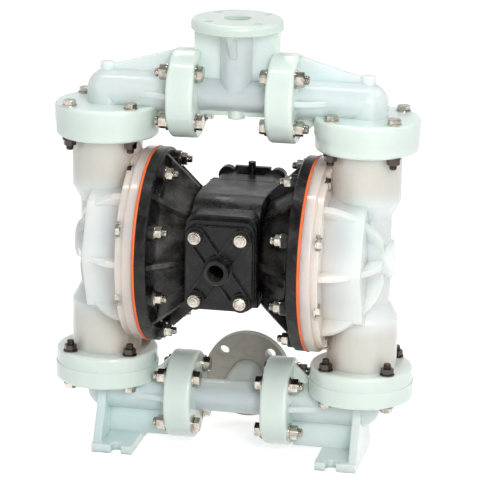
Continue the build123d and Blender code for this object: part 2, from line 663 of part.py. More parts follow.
def outer_chamber():
    """White fluid chamber on the right: clamp rim, octagonal drum, ribs and the valve column."""
    rim = rounded_disc(RIM_R, (OUTER_FACE_X, 0, 0), (1, 0, 0), OUTER_RIM_T, 0, OUTER_RIM_ROUND)
    body = rim + cylinder(RIM_R - BOLT_LAND_INSET, (OUTER_RIM_X, 0, 0), (1, 0, 0), BOLT_LAND_T)
    corner_r = DRUM_APOTHEM / math.cos(math.pi / DRUM_SIDES)
    corners = [around_x(OUTER_FACE_X, corner_r, 360 / DRUM_SIDES * i) for i in range(DRUM_SIDES)]
    section = make_face(Polyline(*corners, close=True))
    body += extrude(section, DRUM_END_X - OUTER_FACE_X, dir=(1, 0, 0))
    for angle in CHAMBER_RIB_ANGLES:
        body += chamber_rib(angle)
    half = Pos(VALVE_X, 0, 0) * column_half()
    body += half + mirror(half, about=Plane.XY)
    flange = valve_flange(CHAMBER_FLANGE_R, CHAMBER_FLANGE_T)
    low_flange = Pos(0, 0, -VALVE_SEAM_Z) * flange
    body += low_flange + mirror(low_flange, about=Plane.XY)
    body += rounded_disc(END_BOSS_R, (VALVE_X, 0, 0), (1, 0, 0), END_BOSS_X - VALVE_X, 0, END_BOSS_ROUND)
    body -= chamber_cavity()
    for sign in (1, -1):
        body -= cylinder(VALVE_POCKET_R, (VALVE_X, 0, sign * POCKET_FLOOR_Z), (0, 0, sign), SEAT_H + CAGE_H)
        for x, y in square_points(VALVE_BOLT_PITCH):
            start = (VALVE_X + x, y, sign * CHAMBER_OUTER_Z)
            body -= cylinder(CHAMBER_BOLT_D / 2 + HOLE_CLEARANCE, start, (0, 0, sign), CHAMBER_FLANGE_T)
    for angle in clamp_angles():
        start = around_x(OUTER_FACE_X, CLAMP_BOLT_CIRCLE_R, angle)
        hole_r = CHAMBER_BOLT_D / 2 + HOLE_CLEARANCE
        body -= cylinder(hole_r, start, (1, 0, 0), HEAD_SEAT_X - OUTER_FACE_X)
        body -= head_pocket(angle)
    return body


def head_pocket(angle):
    """The flat-bottomed pocket round one clamp bolt's head, open towards the rim."""
    radius = CHAMBER_WASHER_R + SPOT_FACE_GAP
    face = around_x(HEAD_SEAT_X, CLAMP_BOLT_CIRCLE_R, 0)
    way_out = block((HEAD_SEAT_X, HEAD_SEAT_X + SPOT_FACE_H), (CLAMP_BOLT_CIRCLE_R, RIM_R), (-radius, radius))
    return Rot(angle, 0, 0) * (cylinder(radius, face, (1, 0, 0), SPOT_FACE_H) + way_out)


def chamber_cavity():
    """Fluid space of the right chamber: the bowl and the vertical passage."""
    inner_r = DRUM_APOTHEM - DRUM_WALL
    end_x = DRUM_END_X - DRUM_WALL
    slope = CHAMBER_MOUTH_R - inner_r
    bowl = turned_x([(OUTER_FACE_X, 0), (OUTER_FACE_X, CHAMBER_MOUTH_R),
                     (OUTER_FACE_X + slope, CHAMBER_MOUTH_R), (OUTER_FACE_X + 3 * slope, inner_r),
                     (end_x - 2 * slope, inner_r), (end_x, inner_r - 2 * slope), (end_x, 0)])
    start = (VALVE_X, 0, -POCKET_FLOOR_Z)
    return bowl + cylinder(PASSAGE_R, start, (0, 0, 1), 2 * POCKET_FLOOR_Z)


def valve_seat():
    """Seat ring, standing on Z = 0, with a recess that follows the resting ball."""
    ring = tube(SEAT_R, PORT_BORE_R, (0, 0, 0), (0, 0, 1), SEAT_H)
    return ring - Pos(0, 0, SEAT_H + BALL_RISE_ON_SEAT) * Sphere(BALL_R + BALL_GAP)


def ball_cage():
    """Cage above a seat: four guide fins between two rings, and a cross that stops the ball."""
    ring_inner = SEAT_R - CAGE_RING_WALL
    cage = tube(SEAT_R, ring_inner, (0, 0, 0), (0, 0, 1), CAGE_RING_H)
    cage += tube(SEAT_R, ring_inner, (0, 0, CAGE_H - CAGE_RING_H), (0, 0, 1), CAGE_RING_H)
    guide_r = BALL_R + 2 * BALL_GAP
    stop_z = BALL_RISE_ON_SEAT + BALL_R + BALL_LIFT + BALL_GAP
    fin = CAGE_FIN_T / 2
    for angle in (45, 135):
        bar = block((-SEAT_R, SEAT_R), (-fin, fin), (0, CAGE_H))
        cage += Rot(0, 0, angle) * bar & Solid.make_cylinder(SEAT_R, CAGE_H)
    cage -= cylinder(guide_r, (0, 0, 0), (0, 0, 1), stop_z)
    return cage - cylinder(guide_r, (0, 0, stop_z + CAGE_STOP_H), (0, 0, 1), CAGE_H)


def ball():
    return Pos(0, 0, SEAT_H + BALL_RISE_ON_SEAT) * Sphere(BALL_R)


def at_valve(level, shape):
    """Move a check valve piece from its own seat plane to the right-hand valve of one level."""
    base = POCKET_FLOOR_Z if level == "discharge" else -VALVE_SEAM_Z
    return Pos(VALVE_X, 0, base) * shape


# Diaphragm, plates and rod

def diaphragm():
    """Right diaphragm at mid stroke: clamped edge, one rolled fold and a flat centre on the rod."""
    half = DIAPHRAGM_T / 2
    centre_x = DIAPHRAGM_X + half
    edge_x = CLAMP_X + BEAD_T / 2
    fold = [(edge_x + FOLD_CREST_X, DIAPHRAGM_FLEX_R - FOLD_CREST_INSET),
            (edge_x + FOLD_FLANK_X, DIAPHRAGM_FLEX_R - FOLD_FLANK_INSET),
            (centre_x + FOLD_FOOT_X, PLATE_R + FOLD_FOOT_OUTSET), (centre_x, PLATE_R)]
    fluid_side = [(x + half, r) for x, r in fold]
    air_side = [(x - half, r) for x, r in reversed(fold)]
    outline = [(CLAMP_X + BEAD_T, BEAD_R), (CLAMP_X + BEAD_T, DIAPHRAGM_FLEX_R), *fluid_side,
               (centre_x + half, ROD_STUD_R + LOOSE), (centre_x - half, ROD_STUD_R + LOOSE), *air_side,
               (CLAMP_X, DIAPHRAGM_FLEX_R - DIAPHRAGM_EDGE_STEP), (CLAMP_X, BEAD_R)]
    body = turned_x(outline)
    for angle in clamp_angles():
        start = around_x(CLAMP_X, CLAMP_BOLT_CIRCLE_R, angle)
        body -= cylinder(CHAMBER_BOLT_D / 2 + HOLE_CLEARANCE, start, (1, 0, 0), BEAD_T)
    return body


def inner_plate():
    """Air side plate between the rod's shoulder and the diaphragm."""
    bore = ROD_STUD_R + FIT
    rim_x = DIAPHRAGM_X - INNER_PLATE_RIM_T
    return turned_x([(ROD_SHOULDER_X, bore), (ROD_SHOULDER_X, INNER_PLATE_HUB_R),
                     (rim_x, INNER_PLATE_HUB_R + INNER_PLATE_HUB_SLOPE), (rim_x, PLATE_R - PLATE_CHAMFER),
                     (rim_x + PLATE_CHAMFER, PLATE_R),
                     (DIAPHRAGM_X, PLATE_R), (DIAPHRAGM_X, bore)])


def outer_plate():
    """Fluid side plate, domed, screwed on the rod's stud."""
    bore = ROD_STUD_R + FIT
    end_x = OUTER_PLATE_X + OUTER_PLATE_T
    stud_x = OUTER_PLATE_X + STUD_IN_PLATE
    return turned_x([(OUTER_PLATE_X, bore), (OUTER_PLATE_X, PLATE_R),
                     (OUTER_PLATE_X + OUTER_PLATE_RIM_T, PLATE_R - PLATE_CHAMFER),
                     (end_x - OUTER_PLATE_CROWN_DROP, OUTER_PLATE_CROWN_R + OUTER_PLATE_CROWN_STEP),
                     (end_x, OUTER_PLATE_CROWN_R), (end_x, 0), (stud_x + LOOSE, 0), (stud_x + LOOSE, bore)])


def diaphragm_rod():
    stud_x = OUTER_PLATE_X + STUD_IN_PLATE
    rod = cylinder(ROD_R, (-ROD_SHOULDER_X, 0, 0), (1, 0, 0), 2 * ROD_SHOULDER_X)
    return rod + cylinder(ROD_STUD_R, (-stud_x, 0, 0), (1, 0, 0), 2 * stud_x)


def rod_bushing():
    start = (HOUSING_HALF_X - BUSHING_LENGTH, 0, 0)
    return tube(ROD_R + BUSHING_WALL, ROD_R + FIT, start, (1, 0, 0), BUSHING_LENGTH)


def rod_seal():
    start = (HOUSING_HALF_X - BUSHING_LENGTH - SEAL_LENGTH, 0, 0)
    return tube(ROD_R + BUSHING_WALL, ROD_R + FIT, start, (1, 0, 0), SEAL_LENGTH)


# Air section

def inner_chamber():
    """Black air chamber on the right: clamp rim with nut bosses, cone, radial ribs and floor."""
    bore = ROD_R + BUSHING_WALL / 2
    chamfer_x = INNER_RIM_CHAMFER
    body = turned_x([(AIR_BACK_X, bore), (AIR_BACK_X, CONE_SMALL_R), (INNER_RIM_X, CONE_BIG_R),
                     (INNER_RIM_X, RIM_R - chamfer_x), (INNER_RIM_X + chamfer_x, RIM_R),
                     (CLAMP_X, RIM_R), (CLAMP_X, AIR_MOUTH_R), (INNER_RIM_X, AIR_MOUTH_R - AIR_MOUTH_STEP),
                     (AIR_FLOOR_X + AIR_FLOOR_CHAMFER, AIR_FLOOR_R),
                     (AIR_FLOOR_X, AIR_FLOOR_R - AIR_FLOOR_CHAMFER), (AIR_FLOOR_X, bore)])
    ring_start = (INNER_RIM_X - STIFFENER_RING_T, 0, 0)
    inner = STIFFENER_RING_R - STIFFENER_RING_WALL
    body += tube(STIFFENER_RING_R, inner, ring_start, (1, 0, 0), STIFFENER_RING_T)
    rib = [(INNER_RIM_X, RIM_R - AIR_RIB_INSET), (AIR_BACK_X, AIR_RIB_INNER_R),
           (AIR_BACK_X, CONE_SMALL_R - AIR_RIB_SUNK), (INNER_RIM_X, CONE_BIG_R - AIR_RIB_SUNK)]
    for i in range(AIR_RIB_COUNT):
        body += Rot(360 / AIR_RIB_COUNT * i, 0, 0) * plate_xy(rib, AIR_RIB_T)
    for angle in clamp_angles():
        start = around_x(CLAMP_X, CLAMP_BOLT_CIRCLE_R, angle)
        boss = around_x(INNER_RIM_X, CLAMP_BOLT_CIRCLE_R, angle)
        body += cylinder(NUT_BOSS_R, boss, (-1, 0, 0), NUT_BOSS_T)
        body -= cylinder(CHAMBER_BOLT_D / 2 + HOLE_CLEARANCE, start, (-1, 0, 0), CLAMP_X - NUT_SEAT_X)
    for start in housing_bolt_points(AIR_BACK_X):
        body -= cylinder(HOUSING_BOLT_D / 2 + HOLE_CLEARANCE, start, (1, 0, 0), AIR_CHAMBER_FLOOR_T)
    body -= cylinder(PLUNGER_R + HOLE_CLEARANCE, (AIR_BACK_X, 0, PILOT_Z), (1, 0, 0), AIR_CHAMBER_FLOOR_T)
    return body - cylinder(AIR_PASSAGE_R, air_port_point(AIR_BACK_X), (1, 0, 0), AIR_CHAMBER_FLOOR_T)


def housing_bolt_points(x):
    """Where the four bolts of one air chamber enter the centre housing."""
    return [around_x(x, HOUSING_BOLT_CIRCLE_R, angle) for angle in HOUSING_BOLT_ANGLES]


def air_port_point(x):
    """Centre of the air passage from the main air valve to an air chamber."""
    return (x, HOUSING_BACK_Y / 2, 0.0)


def housing_gasket():
    ring = tube(GASKET_OUTER_R, ROD_R + BUSHING_WALL, (HOUSING_HALF_X, 0, 0), (1, 0, 0), HOUSING_GASKET_T)
    for start in housing_bolt_points(HOUSING_HALF_X):
        ring -= cylinder(HOUSING_BOLT_D / 2 + HOLE_CLEARANCE, start, (1, 0, 0), HOUSING_GASKET_T)
    ring -= cylinder(PLUNGER_R + HOLE_CLEARANCE, (HOUSING_HALF_X, 0, PILOT_Z), (1, 0, 0), HOUSING_GASKET_T)
    return ring - cylinder(AIR_PASSAGE_R, air_port_point(HOUSING_HALF_X), (1, 0, 0), HOUSING_GASKET_T)


def housing_bolts():
    bolt = hex_bolt(HOUSING_BOLT_D, HOUSING_BOLT_AF, HOUSING_BOLT_HEAD_H, HOUSING_BOLT_LENGTH)
    right = [at(point, (1, 0, 0), bolt) for point in housing_bolt_points(AIR_FLOOR_X)]
    return right + [mirrored(item) for item in right]


def housing_block():
    """The housing's outer shape: an arched front shoulder and a lower flat top behind it."""
    front, back, top, bottom = -HOUSING_FRONT_Y, HOUSING_BACK_Y, HOUSING_TOP_Z, -HOUSING_BOTTOM_Z
    run, drop = HOUSING_SHOULDER_RUN, HOUSING_SHOULDER_DROP
    chord = math.hypot(run, drop)
    middle = (front + run / 2 - HOUSING_SHOULDER_BULGE * drop / chord,
              top - drop / 2 + HOUSING_SHOULDER_BULGE * run / chord)
    corners = [(HOUSING_STEP_Y, HOUSING_REAR_TOP_Z), (back, HOUSING_REAR_TOP_Z), (back, bottom),
               (front, bottom), (front, top - drop)]
    edges = [ThreePointArc((front, top - drop), middle, (front + run, top)),
             Line((front + run, top), (HOUSING_STEP_Y, top)), Line((HOUSING_STEP_Y, top), corners[0])]
    edges += [Line(start, end) for start, end in zip(corners, corners[1:])]
    side = Plane(origin=(-HOUSING_HALF_X, 0, 0), x_dir=(0, 1, 0), z_dir=(1, 0, 0)) * make_face(edges)
    solid = extrude(side, 2 * HOUSING_HALF_X)
    rounded = []
    for edge in solid.edges():
        centre = edge.center()
        at_side = abs(abs(centre.X) - HOUSING_HALF_X) < FIT
        if at_side and centre.Y < HOUSING_STEP_Y - FIT and centre.Z > bottom + FIT:
            rounded.append(edge)
    return fillet(rounded, HOUSING_EDGE_ROUND)


def centre_housing():
    """Centre block with the rod bore, the pilot valve bore, the inlet pocket and the air passages."""
    body = housing_block()
    body += cap_layer(HOUSING_FRONT_Y - HOUSING_SHOULDER_RUN / 2, PAD_FRONT_Y, 0, 0)
    body -= cylinder(ROD_R + LOOSE, (-HOUSING_HALF_X, 0, 0), (1, 0, 0), 2 * HOUSING_HALF_X)
    half_x = HOUSING_HALF_X
    bolt_depth = HOUSING_BOLT_LENGTH - AIR_CHAMBER_FLOOR_T
    for sign in (1, -1):
        toward_centre = (-sign, 0, 0)
        end = sign * half_x
        body -= cylinder(ROD_R + BUSHING_WALL, (end, 0, 0), toward_centre, BUSHING_LENGTH + SEAL_LENGTH)
        body -= cylinder(PLUNGER_BUSHING_R, (end, 0, PILOT_Z), toward_centre, half_x)
        body -= cylinder(AIR_PASSAGE_R, air_port_point(end), toward_centre, half_x / 2 + AIR_PASSAGE_R)
        passage = (sign * half_x / 2, HOUSING_BACK_Y / 2, 0)
        body -= cylinder(AIR_PASSAGE_R, passage, (0, 1, 0), HOUSING_BACK_Y / 2)
        for start in housing_bolt_points(end):
            body -= cylinder(HOUSING_BOLT_D / 2, start, toward_centre, bolt_depth)
    sleeve_start = (-PILOT_SLEEVE_HALF_X, 0, PILOT_Z)
    body -= cylinder(PILOT_SLEEVE_R, sleeve_start, (1, 0, 0), 2 * PILOT_SLEEVE_HALF_X)
    pocket_x, pocket_z = HOUSING_POCKET_HALF_X, HOUSING_POCKET_HALF_Z
    body -= block((-pocket_x, pocket_x), (-PAD_FRONT_Y, -PAD_FRONT_Y + HOUSING_POCKET_DEPTH),
                  (-pocket_z, pocket_z))
    duct_length = PAD_FRONT_Y + HOUSING_BACK_Y
    body -= cylinder(AIR_PASSAGE_R, (0, -PAD_FRONT_Y, -pocket_z + AIR_PASSAGE_R), (0, 1, 0), duct_length)
    for x, z in cap_bolt_points():
        body -= cylinder(CAP_BOLT_D / 2, (x, -PAD_FRONT_Y, z), (0, 1, 0), cap_bolt_depth())
    for x, z in body_screw_points():
        body -= cylinder(VALVE_SCREW_D / 2, (x, HOUSING_BACK_Y, z), (0, -1, 0), VALVE_SCREW_IN)
    return body


def plunger_bushing():
    start = (PILOT_SLEEVE_HALF_X, 0, PILOT_Z)
    length = HOUSING_HALF_X - PILOT_SLEEVE_HALF_X
    return tube(PLUNGER_BUSHING_R, PLUNGER_R + FIT, start, (1, 0, 0), length)


def pilot_sleeve():
    start = (-PILOT_SLEEVE_HALF_X, 0, PILOT_Z)
    length = 2 * PILOT_SLEEVE_HALF_X
    sleeve = tube(PILOT_SLEEVE_R, PILOT_SPOOL_R + FIT, start, (1, 0, 0), length)
    for x in (-PILOT_SPOOL_HALF_X / 2, 0, PILOT_SPOOL_HALF_X / 2):
        sleeve -= cylinder(PILOT_PORT_R, (x, 0, PILOT_Z), (0, 0, 1), PILOT_SLEEVE_R)
    return sleeve


def pilot_spool():
    """Spool with two waists between three lands."""
    land = PILOT_SPOOL_HALF_X / 3
    half = turned_x([(0, 0), (0, PILOT_SPOOL_R), (land / 2, PILOT_SPOOL_R), (land / 2, PILOT_WAIST_R),
                     (PILOT_SPOOL_HALF_X - land, PILOT_WAIST_R), (PILOT_SPOOL_HALF_X - land, PILOT_SPOOL_R),
                     (PILOT_SPOOL_HALF_X, PILOT_SPOOL_R), (PILOT_SPOOL_HALF_X, 0)])
    return Pos(0, 0, PILOT_Z) * (half + mirrored(half))


def pilot_plunger():
    length = PLUNGER_TIP_X - PILOT_SPOOL_HALF_X
    pin = Solid.make_cylinder(PLUNGER_R, length)
    pin = chamfer(pin.edges().sort_by(Axis.Z)[-1], PLUNGER_R / 3)
    return Plane(origin=(PILOT_SPOOL_HALF_X, 0, PILOT_Z), z_dir=(1, 0, 0)) * pin


# Air inlet cap

def cap_layer(back_y, front_y, inset, drop):
    """One slab of the cap's stack between two distances in front of the axis, lowered at the top by drop."""
    width = 2 * (CAP_HALF_X - inset)
    top, bottom = CAP_TOP_Z - drop, inset - CAP_BOTTOM_Z
    height = top - bottom
    middle_z = (top + bottom) / 2
    outline = Plane(origin=(0, -back_y, middle_z), x_dir=(1, 0, 0), z_dir=(0, -1, 0)) * RectangleRounded(
        width, height, CAP_CORNER_R)
    return extrude(outline, front_y - back_y)


def cap_bolt_points():
    return [(CAP_BOLT_X * a, CAP_BOLT_Z * b) for a, b in CORNERS]


def cap_bolt_depth():
    """How far a cap bolt reaches behind the housing's front pad."""
    return CAP_BOLT_LENGTH - (CAP_BOSS_FRONT_Y - PAD_FRONT_Y)


def air_inlet_gasket():
    sheet = cap_layer(PAD_FRONT_Y, CAP_BACK_Y, CAP_BASE_INSET, CAP_BASE_DROP)
    x, z = HOUSING_POCKET_HALF_X, HOUSING_POCKET_HALF_Z
    sheet -= block((-x, x), (-CAP_BACK_Y, -PAD_FRONT_Y), (-z, z))
    for bolt_x, bolt_z in cap_bolt_points():
        start = (bolt_x, -PAD_FRONT_Y, bolt_z)
        sheet -= cylinder(CAP_BOLT_D / 2 + HOLE_CLEARANCE, start, (0, -1, 0), CAP_GASKET_T)
    return sheet


def cap_ribs(x, z):
    """The pair of ribs that run from the inlet boss to one bolt boss."""
    angle = math.degrees(math.atan2(z, x))
    length = math.hypot(x, z)
    ribs = None
    for low in (-CAP_LUG_R, CAP_LUG_R - CAP_RIB_T):
        rib = block((0, length), (low, low + CAP_RIB_T), (0, CAP_RIB_FRONT_Y - CAP_BASE_Y))
        ribs = rib if ribs is None else ribs + rib
    frame = Plane(origin=(0, -CAP_BASE_Y, 0), x_dir=(1, 0, 0), z_dir=(0, -1, 0))
    return frame * Rot(0, 0, angle) * ribs


def air_inlet_cap():
    """Front cap: stepped base, four bolt bosses, crossed ribs and the threaded inlet boss."""
    body = cap_layer(CAP_BACK_Y, CAP_BASE_Y, CAP_BASE_INSET, CAP_BASE_DROP)
    face = cap_layer(CAP_BASE_Y, CAP_FACE_Y, CAP_FACE_INSET, CAP_FACE_DROP)
    body += chamfer(face.edges().group_by(Axis.Y)[0], CAP_FACE_CHAMFER)
    for x, z in cap_bolt_points():
        body += cylinder(CAP_BOSS_R, (x, -CAP_BACK_Y, z), (0, -1, 0), CAP_BOSS_FRONT_Y - CAP_BACK_Y)
        body += cylinder(CAP_LUG_R, (x, -CAP_BACK_Y, z), (0, -1, 0), CAP_RIB_FRONT_Y - CAP_BACK_Y)
        body += cap_ribs(x, z)
    body += cylinder(INLET_BASE_R, (0, -CAP_BACK_Y, 0), (0, -1, 0), CAP_RIB_FRONT_Y - CAP_BACK_Y)
    inlet = Solid.make_cylinder(INLET_BOSS_R, INLET_FRONT_Y - CAP_BACK_Y)
    inlet = chamfer(inlet.edges().sort_by(Axis.Z)[-1], INLET_CHAMFER)
    body += Plane(origin=(0, -CAP_BACK_Y, 0), z_dir=(0, -1, 0)) * inlet
    for x, z in cap_bolt_points():
        start = (x, -CAP_BACK_Y, z)
        body -= cylinder(CAP_BOLT_D / 2 + HOLE_CLEARANCE, start, (0, -1, 0), CAP_BOSS_FRONT_Y - CAP_BACK_Y)
    return body - cylinder(INLET_HOLE_R, (0, -INLET_FRONT_Y, 0), (0, 1, 0), INLET_FRONT_Y - CAP_BACK_Y)


def air_inlet_bolts():
    """Four hexagon bolts with a flange under the head."""
    bolt = hex_bolt(CAP_BOLT_D, CAP_BOLT_AF, CAP_BOLT_HEAD_H, CAP_BOLT_LENGTH)
    bolt += cylinder(CAP_BOLT_FLANGE_R, (0, 0, 0), (0, 0, 1), CAP_BOLT_FLANGE_T)
    bolt -= cylinder(CAP_BOLT_DISH_R, (0, 0, CAP_BOLT_HEAD_H), (0, 0, -1), CAP_BOLT_DISH_DEPTH)
    return [at((x, -CAP_BOSS_FRONT_Y, z), (0, -1, 0), bolt) for x, z in cap_bolt_points()]


# Main air valve

def body_screw_points():
    """Where the air valve body's four screws stand."""
    return [(BODY_SCREW_X * side, z) for side in (1, -1) for z in (BODY_SCREW_TOP_Z, -BODY_SCREW_BOTTOM_Z)]


def end_screw_points(x):
    """Where the four screws of one end cap stand."""
    points = [around_x(x, END_SCREW_CIRCLE_R, 45 + 90 * i) for i in range(4)]
    return [(px, py + SPOOL_Y, pz + SPOOL_Z) for px, py, pz in points]


def air_valve_profile(y_range, inset):
    """Rounded rectangle of the air valve body, extruded between two Y values."""
    width = 2 * (AIR_VALVE_HALF_X - inset)
    height = AIR_VALVE_TOP_Z + AIR_VALVE_BOTTOM_Z - 2 * inset
    middle_z = (AIR_VALVE_TOP_Z - AIR_VALVE_BOTTOM_Z) / 2
    outline = Plane(origin=(0, y_range[0], middle_z), x_dir=(-1, 0, 0), z_dir=(0, 1, 0)) * RectangleRounded(
        width, height, AIR_VALVE_ROUND)
    return extrude(outline, y_range[1] - y_range[0])


def air_valve_body():
    """Valve block on the back, with the spool bore, the ports to the housing and the exhaust."""
    body = air_valve_profile((AIR_VALVE_Y, AIR_VALVE_REAR_Y), 0)
    exhaust = (0, AIR_VALVE_REAR_Y, -EXHAUST_Z)
    body += cylinder(EXHAUST_BOSS_R, exhaust, (0, 1, 0), EXHAUST_BOSS_T)
    for x in (-BODY_SCREW_X, BODY_SCREW_X):
        lobe = (x, AIR_VALVE_REAR_Y, BODY_SCREW_TOP_Z)
        body += cylinder(VALVE_LOBE_R, lobe, (0, -1, 0), VALVE_LOBE_LENGTH)
    ridge_y = AIR_VALVE_REAR_Y - VALVE_RIDGE_T
    body += block((-VALVE_RIDGE_HALF_X, VALVE_RIDGE_HALF_X), (ridge_y, AIR_VALVE_REAR_Y),
                  (AIR_VALVE_TOP_Z - SUNK, VALVE_RIDGE_TOP_Z))
    body -= block((-VALVE_RECESS_HALF_X, VALVE_RECESS_HALF_X), (ridge_y - VALVE_RECESS_LENGTH, ridge_y),
                  (AIR_VALVE_TOP_Z - VALVE_RECESS_DEPTH, AIR_VALVE_TOP_Z))
    body += cylinder(VALVE_POST_R, (0, VALVE_POST_Y, SPOOL_Z), (0, 0, 1), VALVE_POST_TOP_Z - SPOOL_Z)
    start = (-AIR_VALVE_HALF_X, SPOOL_Y, SPOOL_Z)
    body -= cylinder(SLEEVE_R, start, (1, 0, 0), 2 * AIR_VALVE_HALF_X)
    rear = AIR_VALVE_REAR_Y + EXHAUST_BOSS_T
    body -= cylinder(INLET_HOLE_R, (0, rear, -EXHAUST_Z), (0, -1, 0), EXHAUST_DEPTH)
    body -= cylinder(AIR_PASSAGE_R, (0, SPOOL_Y, -EXHAUST_Z), (0, 0, 1), SPOOL_Z + EXHAUST_Z)
    for sign in (1, -1):
        port = (sign * HOUSING_HALF_X / 2, AIR_VALVE_Y, 0)
        body -= cylinder(AIR_PASSAGE_R, port, (0, 1, 0), AIR_PASSAGE_R)
        body -= cylinder(PORT_SLOT_R, (port[0], AIR_VALVE_Y + AIR_PASSAGE_R, 0), (0, 0, 1), SPOOL_Z)
        for point in end_screw_points(sign * AIR_VALVE_HALF_X):
            body -= cylinder(VALVE_SCREW_D / 2, point, (-sign, 0, 0), END_SCREW_LENGTH - END_CAP_T)
    for x, z in body_screw_points():
        body -= cylinder(VALVE_SCREW_D / 2 + HOLE_CLEARANCE, (x, AIR_VALVE_Y, z), (0, 1, 0), AIR_VALVE_DEPTH)
        head_start = (x, AIR_VALVE_REAR_Y - VALVE_SCREW_HEAD_H, z)
        body -= cylinder(VALVE_SCREW_HEAD_R + HOLE_CLEARANCE, head_start, (0, 1, 0), VALVE_SCREW_HEAD_H)
    return body


def air_valve_gasket():
    sheet = air_valve_profile((HOUSING_BACK_Y, AIR_VALVE_Y), AIR_VALVE_GASKET_INSET)
    for sign in (1, -1):
        sheet -= cylinder(AIR_PASSAGE_R, (sign * HOUSING_HALF_X / 2, HOUSING_BACK_Y, 0), (0, 1, 0),
                          AIR_VALVE_GASKET_T)
    for x, z in body_screw_points():
        sheet -= cylinder(VALVE_SCREW_D / 2 + HOLE_CLEARANCE, (x, HOUSING_BACK_Y, z), (0, 1, 0),
                          AIR_VALVE_GASKET_T)
    return sheet


def air_valve_sleeve():
    start = (-SLEEVE_HALF_X, SPOOL_Y, SPOOL_Z)
    sleeve = tube(SLEEVE_R, SPOOL_R + FIT, start, (1, 0, 0), 2 * SLEEVE_HALF_X)
    for i in range(-2, 3):
        start = (i * SLEEVE_PORT_PITCH, SPOOL_Y, SPOOL_Z - SLEEVE_R)
        sleeve -= cylinder(PORT_SLOT_R, start, (0, 0, 1), 2 * SLEEVE_R)
    return sleeve


def air_valve_spool():
    """Main spool: lands at the ends and in the middle, with waists between them."""
    half = turned_x([(0, 0), (0, SPOOL_R), (SPOOL_LAND / 2, SPOOL_R), (SPOOL_LAND / 2, SPOOL_WAIST_R),
                     (SPOOL_HALF_X - SPOOL_LAND, SPOOL_WAIST_R), (SPOOL_HALF_X - SPOOL_LAND, SPOOL_R),
                     (SPOOL_HALF_X, SPOOL_R), (SPOOL_HALF_X, 0)])
    return Pos(0, SPOOL_Y, SPOOL_Z) * (half + mirrored(half))


def air_valve_end_cap():
    """Round cap at the right end of the spool bore, with a spigot that holds the sleeve."""
    start = (AIR_VALVE_HALF_X, SPOOL_Y, SPOOL_Z)
    body = rounded_disc(END_CAP_R, start, (1, 0, 0), END_CAP_T, 0, END_CAP_ROUND)
    spigot = AIR_VALVE_HALF_X - SLEEVE_HALF_X
    body += cylinder(SLEEVE_R - FIT, start, (-1, 0, 0), spigot)
    for point in end_screw_points(AIR_VALVE_HALF_X):
        body -= cylinder(VALVE_SCREW_D / 2 + LOOSE, point, (1, 0, 0), END_CAP_T)
    return body


def air_valve_screws():
    """Socket screws of the valve body and of its two end caps."""
    grip = AIR_VALVE_DEPTH - VALVE_SCREW_HEAD_H + AIR_VALVE_GASKET_T
    body_screw = socket_screw(grip + VALVE_SCREW_IN - SCREW_TIP_GAP)
    screws = []
    for x, z in body_screw_points():
        screws.append(at((x, AIR_VALVE_REAR_Y - VALVE_SCREW_HEAD_H, z), (0, 1, 0), body_screw))
    end_screw = socket_screw(END_SCREW_LENGTH - SCREW_TIP_GAP)
    right = [at(p, (1, 0, 0), end_screw) for p in end_screw_points(AIR_VALVE_HALF_X + END_CAP_T)]
    return screws + right + [mirrored(item) for item in right]


# Fastener groups

def clamp_bolt_sets():
    """Bolts, nuts and washers of the right-hand clamp ring."""
    grip = HEAD_SEAT_X - NUT_SEAT_X + 2 * CHAMBER_WASHER_T
    bolt = hex_bolt(CHAMBER_BOLT_D, CHAMBER_BOLT_AF, CHAMBER_HEAD_H, grip + CHAMBER_NUT_H + THREAD_END)
    nut = hex_nut(CHAMBER_BOLT_D, CHAMBER_BOLT_AF, CHAMBER_NUT_H)
    ring = washer(CHAMBER_BOLT_D, CHAMBER_WASHER_R, CHAMBER_WASHER_T)
    bolts, nuts, washers = [], [], []
    for angle in clamp_angles():
        head = around_x(HEAD_SEAT_X + CHAMBER_WASHER_T, CLAMP_BOLT_CIRCLE_R, angle)
        tail = around_x(NUT_SEAT_X - CHAMBER_WASHER_T, CLAMP_BOLT_CIRCLE_R, angle)
        bolts.append(at(head, (1, 0, 0), bolt))
        nuts.append(at(tail, (-1, 0, 0), nut))
        washers.append(at(head, (-1, 0, 0), ring))
        washers.append(at(tail, (1, 0, 0), ring))
    return bolts, nuts, washers


def valve_bolt_sets():
    """Bolts, nuts and washers of the right-hand valve flanges, with the heads on the elbows."""
    grip = ELBOW_FLANGE_T + CHAMBER_FLANGE_T + 2 * CHAMBER_WASHER_T
    bolt = hex_bolt(CHAMBER_BOLT_D, CHAMBER_BOLT_AF, CHAMBER_HEAD_H, grip + CHAMBER_NUT_H + THREAD_END)
    nut = hex_nut(CHAMBER_BOLT_D, CHAMBER_BOLT_AF, CHAMBER_NUT_H)
    ring = washer(CHAMBER_BOLT_D, CHAMBER_WASHER_R, CHAMBER_WASHER_T)
    bolts, nuts, washers = [], [], []
    for sign in (1, -1):
        for x, y in square_points(VALVE_BOLT_PITCH):
            head = (VALVE_X + x, y, sign * (ELBOW_OUTER_Z + CHAMBER_WASHER_T))
            tail = (VALVE_X + x, y, sign * (CHAMBER_OUTER_Z - CHAMBER_WASHER_T))
            bolts.append(at(head, (0, 0, sign), bolt))
            nuts.append(at(tail, (0, 0, -sign), nut))
            washers.append(at(head, (0, 0, -sign), ring))
            washers.append(at(tail, (0, 0, sign), ring))
    return bolts, nuts, washers


